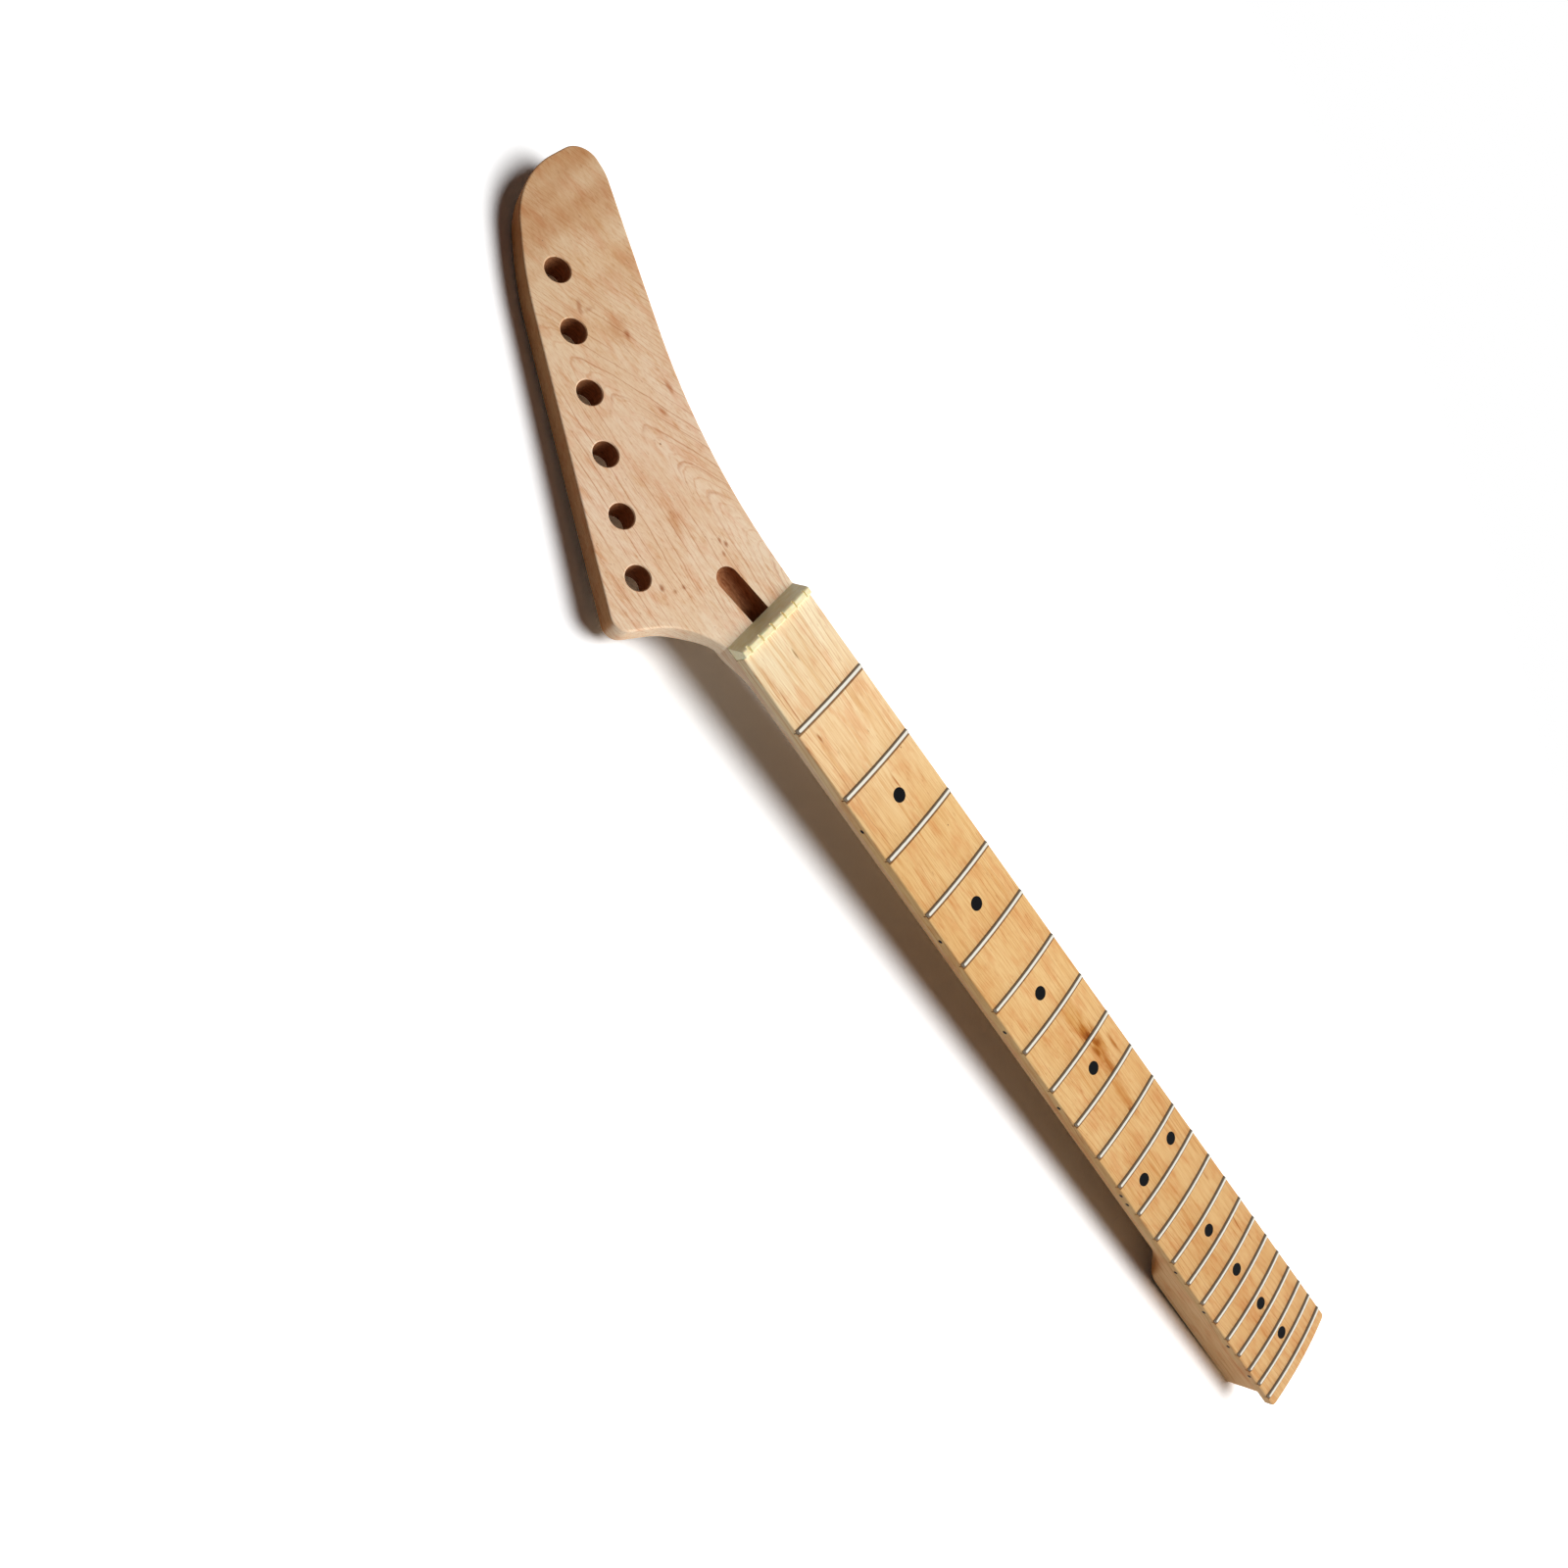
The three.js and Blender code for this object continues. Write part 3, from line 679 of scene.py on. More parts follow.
# How far in from its end the wire is filed, and to which share of its height.
FILED_END = ((0, 0.1), (0.05, 0.35), (0.16, 0.58), (0.34, 0.78), (0.6, 0.93), (0.95, 1))
arc = spread(0, math.pi, 20)
wire = [(CROWN_HALF * math.cos(t), CROWN_SEAT + CROWN_HEIGHT * math.sin(t)) for t in arc]
wire += [(-TANG / 2, CROWN_SEAT), (-TANG / 2, -TANG_DEPTH), (TANG / 2, -TANG_DEPTH), (TANG / 2, CROWN_SEAT)]
frets = {}
for n in FRETS:
    half = half_width(fret_x(n)) - FRET_SETBACK
    wire_piece = arc_bar(f"wire_{n:02d}", wire, fret_x(n), half, ends=FILED_END)
    frets[f"fret_{n:02d}"] = finish_mesh(wire_piece, 40)

# %% Dots
PLUG_FOOT, PLUG_EDGE = 0.1, 0.06


def plug(name, place, radius, depth, dome=None):
    """A round plug with soft edges, whose top follows the wood. Its two inner rings let a
    wide top bend."""
    profile = [(radius - PLUG_FOOT, -depth), (radius, PLUG_FOOT - depth)]
    profile += [(radius, -PLUG_EDGE), (radius - PLUG_EDGE, 0), (radius * 0.6, 0), (radius * 0.2, 0)]
    return finish_mesh(lathe(name, profile, place, dome=dome), 40)


dots = {}
for name, (x, y) in face_dots.items():
    dots[name] = plug("plug_" + name, face_place(x, y), FACE_DOT_RADIUS, FACE_DOT_DEPTH, crown_drop)
for name, x in side_dots.items():
    dots[name] = plug("plug_" + name, side_place(x), SIDE_DOT_RADIUS, SIDE_DOT_DEPTH)

# %% The nut's profile
NUT_RISE_ROUND, NUT_LEAN = 0.8, 1.6
rise = BOARD_THICKNESS + NUT_RISE
nut_profile = [(0, 0), (0, rise - NUT_RISE_ROUND)]
for t in spread(0, math.pi / 2, 8)[1:]:
    up = rise - NUT_RISE_ROUND + NUT_RISE_ROUND * math.sin(t)
    nut_profile.append((-NUT_RISE_ROUND + NUT_RISE_ROUND * math.cos(t), up))
crest_end, pull, shoulder = (-2.4, rise), (-3.0, rise), (-3.7, rise - NUT_LEAN)
nut_profile += [(-1.6, rise), crest_end]
for t in spread(0, 1, 8)[1:]:
    shares = (1 - t) ** 2, 2 * t * (1 - t), t * t
    ways = zip(crest_end, pull, shoulder)
    nut_profile.append(tuple(sum(share * value for share, value in zip(shares, way)) for way in ways))
nut_profile += [(-4.9, (rise - NUT_LEAN) / 2), (-NUT_THICKNESS + 0.2, 0.4), (-NUT_THICKNESS, 0)]
print("nut profile points:", len(nut_profile))

# %% The nut
NUT_SETBACK, NUT_EDGE = 0.2, 0.4
nut_half = NUT_WIDTH / 2 - NUT_SETBACK
end_places = []
for t in spread(math.pi / 2, 0, 4):
    end_places.append((nut_half - NUT_EDGE + NUT_EDGE * math.sin(t), NUT_EDGE - NUT_EDGE * math.cos(t)))
places = end_places + [(y, 0) for y in spread(nut_half - 1, -nut_half + 1, 36)]
places += [(-y, shrink) for y, shrink in reversed(end_places)]
middle = Vector((crest_end[0], rise / 2))
nut_rings = []
for y, shrink in places:
    ring = []
    for along, up in nut_profile:
        lift = up - crown_drop(y) * up / rise
        out = (Vector((along, up)) - middle).normalized() * shrink
        ring.append(at(BOARD_START + along - out.x, y, LEDGE + max(lift - out.y, 0)))
    nut_rings.append(ring)
nut = loft("nut_bone", nut_rings)

# %% The nut's string slots
STRINGS, STRING_SPAN, STRING_BITE, STRING_FALL = 6, 35, 0.9, 0.08
BASS_SLOT, TREBLE_SLOT = 1.3, 0.5


def string_cutter(index):
    """A round-bottomed slot that gets narrower from the bass side to the treble side and
    falls a little towards the headstock."""
    share = index / (STRINGS - 1)
    half = (BASS_SLOT + (TREBLE_SLOT - BASS_SLOT) * share) / 2
    middle = (share - 0.5) * STRING_SPAN
    floor = board_z(middle) + NUT_RISE - STRING_BITE
    made = []
    for x in (BOARD_START + 2, BOARD_START - 9):
        down = STRING_FALL * (BOARD_START - x)
        ring = [at(x, middle - half, floor + 5)]
        for t in spread(0, math.pi, 10):
            ring.append(at(x, middle - half * math.cos(t), floor + half - half * math.sin(t) - down))
        ring.append(at(x, middle + half, floor + 5))
        made.append(ring)
    return loft("string", made)


carve(nut, [string_cutter(i) for i in range(STRINGS)])
finish_mesh(nut, 30)

# %% The truss rod's barrel
KEY_SIZE, KEY_DEPTH, KEY_FLARE, KEY_CHAMFER = 4, 7, 1.4, 0.4
BARREL_CHAMFER, BORE_GAP, BORE_DEPTH = 0.5, 0.1, 5
barrel_end = BARREL_START + BARREL_LENGTH
radius = BARREL_DIAMETER / 2
barrel_rim = radius - BARREL_CHAMFER
barrel = lathe("barrel_steel", [
    (barrel_rim, BARREL_START), (radius, BARREL_START + BARREL_CHAMFER),
    (radius, barrel_end - BARREL_CHAMFER), (barrel_rim, barrel_end),
], ROD_AXIS)
hexagon = KEY_SIZE / 2 / math.cos(math.pi / 6)
bore = ROD_DIAMETER / 2 + BORE_GAP
key_socket = lathe("hex", [
    (hexagon + KEY_FLARE, BARREL_START - OVERRUN), (hexagon, BARREL_START + KEY_CHAMFER),
    (hexagon, BARREL_START + KEY_DEPTH),
], ROD_AXIS, sides=6)
rod_bore = lathe("bore", [(bore, barrel_end - BORE_DEPTH), (bore, barrel_end + OVERRUN)], ROD_AXIS)
carve(barrel, [key_socket, rod_bore])
finish_mesh(barrel)

# %% [markdown]
# ## Who rides on what
#
# Each new piece takes the place of its CAD node and moves with that node's body. Only the
# barrel turns. The hidden parts of the truss rod keep their CAD shapes.

# %% Rides
slots = {}


def dress(piece, node, body, slot):
    """Puts a piece in the place of a CAD node and notes which finish it gets."""
    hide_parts(node)
    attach(piece, body)
    slots.setdefault(slot, []).append(piece)


dress(wood, "neck_blank", "neck", "neck_maple")
dress(board, "fingerboard", "neck", "board_maple")
dress(nut, "nut", "neck", "bone")
dress(barrel, "truss_hex_barrel", "truss_adjuster", "black_steel")
for name, piece in frets.items():
    dress(piece, name, "neck", "nickel_silver")
for name, piece in dots.items():
    dress(piece, name, "neck", "black_inlay")
print({slot: len(pieces) for slot, pieces in slots.items()})

# %% [markdown]
# ## Tools for the finishes
#
# Colours are written as they look on a screen and turned to the linear values that the
# shaders use. `add` puts one node in a material, with its settings and its links.


# %% Finish tools
def linear(hex_colour):
    """A colour as it looks on a screen, turned to the shader's linear values."""
    channels = [int(hex_colour[i:i + 2], 16) / 255 for i in (1, 3, 5)]
    curve = [c / 12.92 if c <= 0.04045 else ((c + 0.055) / 1.055) ** 2.4 for c in channels]
    return tuple(curve) + (1.0,)


def add(tree, kind, inputs=None, stops=None, **settings):
    """Adds a node. inputs gives a value or a link for a socket, and stops fills a ramp."""
    node = tree.nodes.new("ShaderNode" + kind)
    for key, value in settings.items():
        setattr(node, key, value)
    for key, value in (inputs or {}).items():
        if isinstance(value, bpy.types.NodeSocket):
            tree.links.new(value, node.inputs[key])
        else:
            node.inputs[key].default_value = value
    if stops:
        points = node.color_ramp.elements
        while len(points) < len(stops):
            points.new(0.5)
        for point, (place, colour) in zip(points, stops):
            point.position = place
            point.color = colour
    return node


def new_finish(name):
    finish = bpy.data.materials.new(name)
    finish.use_nodes = True
    finish.node_tree.nodes.clear()
    return finish, finish.node_tree


def grey(level):
    return (level, level, level, 1.0)


def seen_by_camera(tree):
    """1 for what the camera sees, straight on, in a reflection or through something, else 0."""
    path = add(tree, "LightPath").outputs
    seen = path["Is Camera Ray"]
    for ray in ("Is Glossy Ray", "Is Transmission Ray"):
        seen = add(tree, "Math", {0: seen, 1: path[ray]}, operation="MAXIMUM").outputs[0]
    return seen


print("a middle grey on screen is", round(linear("#808080")[0], 3), "in the shader")

# %% [markdown]
# ## Maple
#
# Real maple is pale and close-grained. Its growth layers run along the neck as a stack of
# gently bent shells. Cutting through them at a slant draws nested contour lines, which is
# why they show on the tilted headstock. There they fold along a ridge, so the lines become
# long points that open towards the nut. The pattern is a solid one in the wood itself,
# worked out in millimetres: layers, long fine fibres, short dark flecks, a few pin specks,
# and soft bands of flame across the grain towards the headstock's tip.
#
# Each blank also has marks of its own, which are given one by one: small knots, streaks and
# cloudy patches. The upright sides that face the tip get a painted shade, a darker tint that
# stands for the shadow on them. On the fingerboard a painted shadow draws a darker line at
# the feet of the frets, mostly on the heel's side.

# %% The maple's measures
# The ridge on the headstock starts at RIDGE_FOOT along the neck and passes RIDGE_MIDDLE,
# RIDGE_SIDE to the treble side, at a small turn to the neck. All are in millimetres.
RIDGE_FOOT, RIDGE_MIDDLE, RIDGE_SIDE = -430.0, -504.0, 17.0
RIDGE_TURN, RIDGE_ROUND = -0.08, 4.5
LAYER_THICKNESS, LAYER_RISE, LAYER_RIPPLE, HAIR_RATE = 2.3, -0.64, 0.9, 2.2
TIP_START, TIP_FULL = -530.0, -580.0
LINES_START, LINES_FULL = -598.0, -545.0
# Where the painted shadow beside each fret starts, where it is full, and how far it lies to the heel's
# side, in millimetres.
FRET_SHADOW_START, FRET_SHADOW_FULL, FRET_SHADOW_SHIFT = 1.85, 1.45, 0.35


# %% Patterns and tints in the wood
def pattern(tree, mm, scale, detail=3.0, rough=0.55, offset=(0, 0, 0), distortion=0.0):
    """Soft noise whose features are 1 / scale millimetres along each axis."""
    moved = add(tree, "Mapping", {0: mm, 1: offset, 3: scale}).outputs[0]
    inputs = {"Vector": moved, "Scale": 1.0, "Detail": detail, "Roughness": rough}
    inputs["Distortion"] = distortion
    return add(tree, "TexNoise", inputs).outputs[0]


def window(tree, value, start, end):
    """0 before start and 1 past end, with a soft step between them."""
    limits = {0: value, 1: start, 2: end}
    return add(tree, "MapRange", limits, interpolation_type="SMOOTHSTEP").outputs[0]


def tint(tree, colour, amount, tone, strength=1.0):
    """Multiplies the colour by a tone where amount is 1."""
    inputs = {0: amount, 1: strength}
    share = add(tree, "Math", inputs, operation="MULTIPLY", use_clamp=True).outputs[0]
    inputs = {0: share, 6: colour, 7: linear(tone)}
    return add(tree, "Mix", inputs, data_type="RGBA", blend_type="MULTIPLY").outputs[2]


def sum_of(tree, *terms):
    """Adds up values, each times its factor."""
    total = 0.0
    for value, factor in terms:
        inputs = {0: value, 1: factor, 2: total}
        total = add(tree, "Math", inputs, operation="MULTIPLY_ADD").outputs[0]
    return total


# %% [markdown]
# The layers come first. On the board they lean across the neck. On the headstock they fold
# along the ridge, which draws nested points that open towards the nut. A brown line is
# drawn where a layer ends, with fainter hairlines between.

# %% Growth layers
def growth_stack(tree, mm, xyz, lean, fold, wander):
    """How far up the stack of layers a point lies, in millimetres."""
    x, y, z = xyz
    past = add(tree, "Math", {0: x, 1: RIDGE_FOOT}, operation="MINIMUM").outputs[0]
    past = add(tree, "Math", {0: past, 1: -RIDGE_MIDDLE}, operation="ADD").outputs[0]
    beside = add(tree, "Math", {0: y, 1: -RIDGE_SIDE}, operation="ADD").outputs[0]
    across = sum_of(tree, (beside, math.cos(RIDGE_TURN)), (past, math.sin(RIDGE_TURN)))
    ridge = add(tree, "CombineXYZ", {0: across, 1: RIDGE_ROUND}).outputs[0]
    ridge = add(tree, "VectorMath", {0: ridge}, operation="LENGTH").outputs["Value"]
    bend = pattern(tree, mm, (0.012, 0.05, 0.05), 1.0, offset=(3, 1, 7))
    ripple = pattern(tree, mm, (0.06, 0.16, 0.16), 2.0, offset=(6, 2, 5))
    terms = (z, LAYER_RISE), (y, lean), (ridge, fold), (bend, wander), (ripple, LAYER_RIPPLE)
    return sum_of(tree, *terms)


def growth_lines(tree, mm, x, stack, colour, layers):
    """Draws the ends of the layers and the hairlines. The headstock's tip stays clear."""
    layer = add(tree, "Math", {0: stack, 1: LAYER_THICKNESS}, operation="DIVIDE").outputs[0]
    layer = add(tree, "Math", {0: layer}, operation="FRACT").outputs[0]
    rise, fall = window(tree, layer, 0.84, 0.96), window(tree, layer, 1.0, 0.965)
    line = add(tree, "Math", {0: rise, 1: fall}, operation="MULTIPLY").outputs[0]
    patch = window(tree, pattern(tree, mm, (0.02, 0.06, 0.06), 2.0, offset=(9, 4, 2)), 0.36, 0.6)
    line = add(tree, "Math", {0: line, 1: patch}, operation="MULTIPLY").outputs[0]
    clear_tip = window(tree, x, LINES_START, LINES_FULL)
    line = add(tree, "Math", {0: line, 1: clear_tip}, operation="MULTIPLY").outputs[0]
    colour = tint(tree, colour, line, "#cf9a76", layers)
    hair = add(tree, "Math", {0: stack, 1: HAIR_RATE}, operation="MULTIPLY").outputs[0]
    hair = add(tree, "Math", {0: hair, 1: 1.0}, operation="PINGPONG").outputs[0]
    faint = window(tree, pattern(tree, mm, (0.03, 0.09, 0.09), 2.0, offset=(2, 7, 8)), 0.3, 0.65)
    thin = window(tree, hair, 0.72, 0.98)
    hair = add(tree, "Math", {0: thin, 1: faint}, operation="MULTIPLY").outputs[0]
    return tint(tree, colour, hair, "#e2b690", layers * 0.8)


# %% Fibres, knots and specks
def fibre_tones(tree, mm, fibres, colour, fibre):
    """Broad soft clouds, then fibres under a millimetre wide and over ten long."""
    cloud = window(tree, pattern(tree, mm, (0.016, 0.07, 0.07), 3.0, offset=(1, 2, 3)), 0.35, 0.7)
    colour = tint(tree, colour, cloud, "#f3e4d2", 0.6)
    colour = tint(tree, colour, window(tree, fibres, 0.42, 0.75), "#dfc09c", fibre)
    streak = pattern(tree, mm, (0.02, 0.45, 0.45), 3.0, 0.6, offset=(0, 8, 3))
    return tint(tree, colour, window(tree, streak, 0.5, 0.72), "#ecd2b4", fibre)


def spot(tree, xyz, rough_edge, at_x, at_y, long, wide, turn):
    """A patch with a torn edge, 1 at its middle. long and wide are an oval's half sizes."""
    x, y = xyz[0], xyz[1]
    c, s = math.cos(turn), math.sin(turn)
    parts = []
    for a, b in ((c / long, -s / long), (s / wide, c / wide)):
        start = -(a * at_x + b * at_y)
        first = add(tree, "Math", {0: x, 1: a, 2: start}, operation="MULTIPLY_ADD").outputs[0]
        parts.append(add(tree, "Math", {0: y, 1: b, 2: first}, operation="MULTIPLY_ADD").outputs[0])
    flat = add(tree, "CombineXYZ", {0: parts[0], 1: parts[1]}).outputs[0]
    away = add(tree, "VectorMath", {0: flat}, operation="LENGTH").outputs["Value"]
    torn = add(tree, "Math", {0: rough_edge, 1: 1.1, 2: away}, operation="MULTIPLY_ADD").outputs[0]
    return window(tree, torn, 1.5, 0.6)


def flecks(tree, mm, colour, fibre):
    """Short dark flecks, and pin specks in a few of a Voronoi pattern's cells."""
    fleck = window(tree, pattern(tree, mm, (0.22, 1.5, 1.5), 2.0, 0.5, offset=(2, 6, 1)), 0.66, 0.76)
    colour = tint(tree, colour, fleck, "#b98258", fibre * 0.8)
    cells = add(tree, "Mapping", {0: mm, 3: (0.1, 0.16, 0.16)}).outputs[0]
    speck = add(tree, "TexVoronoi", {"Vector": cells, "Scale": 1.0, "Randomness": 1.0})
    dot = window(tree, speck.outputs["Distance"], 0.05, 0.03)
    chosen = add(tree, "SeparateXYZ", {0: speck.outputs["Color"]}).outputs[0]
    chosen = window(tree, chosen, 0.86, 0.88)
    dot = add(tree, "Math", {0: dot, 1: chosen}, operation="MULTIPLY").outputs[0]
    return tint(tree, colour, dot, "#7d4f33", 0.8)


# %% Flame, painted shade on the sides and painted fret shadows
def flame_bands(tree, mm, x):
    """Bands some 14 mm apart across the grain, strongest at the headstock's tip."""
    bands = pattern(tree, mm, (0.07, 0.016, 0.02), 2.0, 0.45, offset=(4.4, 4, 4), distortion=0.4)
    tip = window(tree, x, TIP_START, TIP_FULL)
    bands = window(tree, bands, 0.4, 0.6)
    return add(tree, "Math", {0: bands, 1: tip}, operation="MULTIPLY").outputs[0]


def painted_tip_side_shade(tree):
    """1 on the sides that stand upright and face the tip, which take a painted shade."""
    facing = add(tree, "SeparateXYZ", {0: add(tree, "TexCoord").outputs["Normal"]}).outputs
    up_or_down = add(tree, "Math", {0: facing[2]}, operation="ABSOLUTE").outputs[0]
    upright, to_tip = window(tree, up_or_down, 0.8, 0.4), window(tree, facing[0], 0.1, -0.3)
    return add(tree, "Math", {0: upright, 1: to_tip}, operation="MULTIPLY").outputs[0]


def painted_fret_shadow(tree, mm, x):
    """1 on the board's top close beside a fret, where a painted shadow falls. Frets lie at whole
    numbers of 12 log2(L / (L - x)), which finds the nearest one."""
    bridge_x = SCALE_LENGTH - HEEL_X + FRET_SHADOW_SHIFT
    left = add(tree, "Math", {0: bridge_x, 1: x}, operation="SUBTRACT").outputs[0]
    ratio = add(tree, "Math", {0: SCALE_LENGTH, 1: left}, operation="DIVIDE").outputs[0]
    octaves = add(tree, "Math", {0: ratio, 1: 2.0}, operation="LOGARITHM").outputs[0]
    number = add(tree, "Math", {0: octaves, 1: 12.0}, operation="MULTIPLY").outputs[0]
    off = add(tree, "Math", {0: number, 1: 0.5}, operation="PINGPONG").outputs[0]
    gap = add(tree, "Math", {0: off, 1: left}, operation="MULTIPLY").outputs[0]
    gap = add(tree, "Math", {0: gap, 1: math.log(2) / 12}, operation="MULTIPLY").outputs[0]
    to_axis = {0: mm, 1: (0, 0, BOARD_RADIUS - HEEL_DEPTH), 3: (0, 1, 1)}
    axis = add(tree, "Mapping", to_axis).outputs[0]
    from_axis = add(tree, "VectorMath", {0: axis}, operation="LENGTH").outputs["Value"]
    top = window(tree, from_axis, BOARD_RADIUS - 0.45, BOARD_RADIUS - 0.2)
    past_nut = window(tree, number, 0.3, 0.5)
    top = add(tree, "Math", {0: top, 1: past_nut}, operation="MULTIPLY").outputs[0]
    beside_fret = window(tree, gap, FRET_SHADOW_START, FRET_SHADOW_FULL)
    return add(tree, "Math", {0: beside_fret, 1: top}, operation="MULTIPLY").outputs[0]


# %% Maple
def maple(
    name, tones, marks, lean, fold, wander, layers, fibre, flame, shade, roughness, fret_shadow=0.0
):
    """tones lists (x in mm, hex colour) along the neck, and marks lists brown spots and
    streaks. lean is how much the layers stand on edge, fold how steeply they rise from the
    headstock's ridge, and wander how far they bend. The rest are strengths."""
    finish, tree = new_finish(name)
    place = add(tree, "TexCoord").outputs["Object"]
    mm = add(tree, "VectorMath", {0: place, "Scale": 1000.0}, operation="SCALE").outputs[0]
    xyz = add(tree, "SeparateXYZ", {0: mm}).outputs
    x = xyz[0]
    low, high = tones[0][0], tones[-1][0]
    along = add(tree, "MapRange", {0: x, 1: low, 2: high}).outputs[0]
    stops = [((at_x - low) / (high - low), linear(tone)) for at_x, tone in tones]
    colour = add(tree, "ValToRGB", {0: along}, stops=stops).outputs[0]

    stack = growth_stack(tree, mm, xyz, lean, fold, wander)
    colour = growth_lines(tree, mm, x, stack, colour, layers)
    fibres = pattern(tree, mm, (0.08, 1.5, 1.5), 4.0, 0.7, offset=(5, 0, 0))
    colour = fibre_tones(tree, mm, fibres, colour, fibre)

    # A pink bloom in small patches, then the wood's own marks and the flecks.
    bloom = pattern(tree, mm, (0.07, 0.22, 0.22), 3.0, 0.6, offset=(8, 5, 6))
    colour = tint(tree, colour, window(tree, bloom, 0.45, 0.7), "#f1d3c2", layers)
    rough_edge = pattern(tree, mm, (0.12, 0.5, 0.5), 3.0, 0.6, offset=(7, 3, 1))
    for *oval, tone, strength in marks:
        colour = tint(tree, colour, spot(tree, xyz, rough_edge, *oval), tone, strength)
    colour = flecks(tree, mm, colour, fibre)
    colour = tint(tree, colour, flame_bands(tree, mm, x), "#dcb48c", flame)
    # Painted shade: the upright sides that face the tip are darkened as if in shadow.
    colour = tint(tree, colour, painted_tip_side_shade(tree), "#dbb898", shade)
    # Painted shadow: a dark line on the board's top beside each fret, mostly on the heel's side.
    if fret_shadow:
        colour = tint(tree, colour, painted_fret_shadow(tree, mm, x), "#775a3e", fret_shadow)

    height = add(tree, "Math", {0: fibres, 1: 0.7}, operation="MULTIPLY").outputs[0]
    bump = add(tree, "Bump", {"Height": height, "Strength": 0.35, "Distance": 0.00004}).outputs[0]
    worn = add(tree, "MapRange", {0: fibres, 3: roughness - 0.06, 4: roughness + 0.08}).outputs[0]
    shader = add(tree, "BsdfPrincipled", {
        "Base Color": colour, "Roughness": worn, "IOR": 1.5, "Normal": bump, "Specular IOR Level": 0.04,
    })
    add(tree, "OutputMaterial", {0: shader.outputs[0]})
    print(name, "nodes:", len(tree.nodes))
    return finish


# %% The tones and marks of the two pieces
# Both lists grow paler towards the nut. Part of that is the wood's own tone and part is painted light, a
# brighter pool around the nut.
neck_tones_and_light = [
    (-604, "#e5c29b"), (-560, "#f6d7b2"), (-500, "#fcdfc1"), (-455, "#ffe3c3"),
    (-430, "#ffebd0"), (-300, "#ecc494"), (49, "#e6bc8a"),
]
board_tones_and_light = [
    (-424, "#fff0cd"), (-380, "#fddfb0"), (-320, "#eec78c"), (-220, "#eac389"),
    (-60, "#d8b07a"), (49, "#d9b27f"),
]
# Each mark: x, y, half length and half width in millimetres, turn, tone, strength.
neck_marks = [
    (-582, 58, 70, 13, -1.3, "#e3c29c", 0.4), (-601, 66, 50, 8, -1.3, "#e6c8a2", 0.5),
    (-561, 62, 50, 9, -1.2, "#ecd0ae", 0.3), (-546, 30, 24, 9, -1.1, "#ecd0ae", 0.3),
    (-538, 39, 3, 1.5, 0.3, "#c08b62", 0.6), (-541, 37, 9, 6, 0.2, "#ddb48c", 0.5),
    (-514, 37.5, 4, 1.6, 0.2, "#c99468", 0.7), (-509, 28, 4, 2, -0.2, "#cd9970", 0.7),
    (-556, 31, 5, 1.4, 0.6, "#c58e6c", 0.55), (-553, 33, 1.5, 4, 0.2, "#c58e6c", 0.4),
    (-458, 9.7, 2.2, 1.3, 0.4, "#a87248", 0.8), (-460.5, 8.5, 2, 1, 0.4, "#b98058", 0.7),
    (-456, 6, 1.8, 1, 0.2, "#b98058", 0.7), (-462, -24.5, 2.4, 1.4, 0.5, "#a8744c", 0.8),
    (-457, -17, 1.8, 1.2, 0.1, "#b07d54", 0.7), (-458, -21, 1.8, 1.2, 0.1, "#b98860", 0.7),
    (-476, -1, 9, 3.5, 0.3, "#dcae80", 0.6), (-500, -30, 8, 2.5, 0.2, "#e0b78e", 0.5),
]
board_marks = [
    (-411, -1.5, 4, 0.7, 0, "#a98256", 0.8), (-398, -17, 16, 0.5, 0.02, "#c07c48", 0.8),
    (-411, -17.5, 9, 1.2, 0.02, "#d79f68", 0.6), (-380, -14.5, 3.5, 0.8, 0, "#b47c46", 0.8),
    (-342, 2.5, 6, 0.8, -0.05, "#c58a52", 0.7), (-197, 6.5, 24, 8, -0.1, "#ecd9bc", 1.0),
    (-189, 7.3, 11, 4.5, -0.1, "#dcbd92", 1.0), (-177, 9, 18, 6.5, 0.1, "#dcb988", 1.0),
    (-186.5, 7.3, 4, 3, -0.2, "#b98a5c", 0.9), (-180, 9.8, 4.5, 2.6, 0, "#c39c62", 1.0),
    (-177, 6.8, 5, 2, -0.2, "#c9a468", 0.9), (-168, 8.5, 14, 3, 0.1, "#d8b484", 0.9),
    (-150, 5, 24, 6, 0.08, "#ecd8c0", 1.0), (-141, 3, 3, 1.6, 0.1, "#a87448", 0.8),
    (-172, 17, 10, 1.4, 0.0, "#c89c68", 0.9),
    (-44, 16, 9, 0.5, 0.1, "#b9783c", 0.8), (-30, 18, 10, 0.5, 0.05, "#c08348", 0.7),
    (6.6, -4.9, 3, 0.6, 0.1, "#b07440", 0.8), (-78, 17, 6, 0.8, 0, "#c48e54", 0.6),
]
print("marks on the neck:", len(neck_marks), "and on the board:", len(board_marks))

# %% Two maples
# The neck is maple under a thin satin lacquer: pale, with a soft sheen and no hard glints.
neck_finish = maple(
    "satin_maple", neck_tones_and_light, neck_marks, lean=0.0, fold=0.5, wander=1.8,
    layers=0.55, fibre=0.5, flame=0.3, shade=1.0, roughness=0.5,
)
# The board is maple under an amber lacquer, which gives it a warmer tone and more shine.
board_finish = maple(
    "amber_maple", board_tones_and_light, board_marks, lean=0.85, fold=0.0, wander=7.0,
    layers=0.6, fibre=0.55, flame=0.0, shade=0.0, roughness=0.42, fret_shadow=0.85,
)

# %% [markdown]
# ## Bone, nickel silver, plastic, steel and brass
#
# The nut is bleached bone, a little waxy. The frets are polished nickel silver, with fine
# filing marks across the board. The dots are dull black plastic. The barrel is black
# oxide steel, and the rod and its blocks are brass and steel that the wood hides.


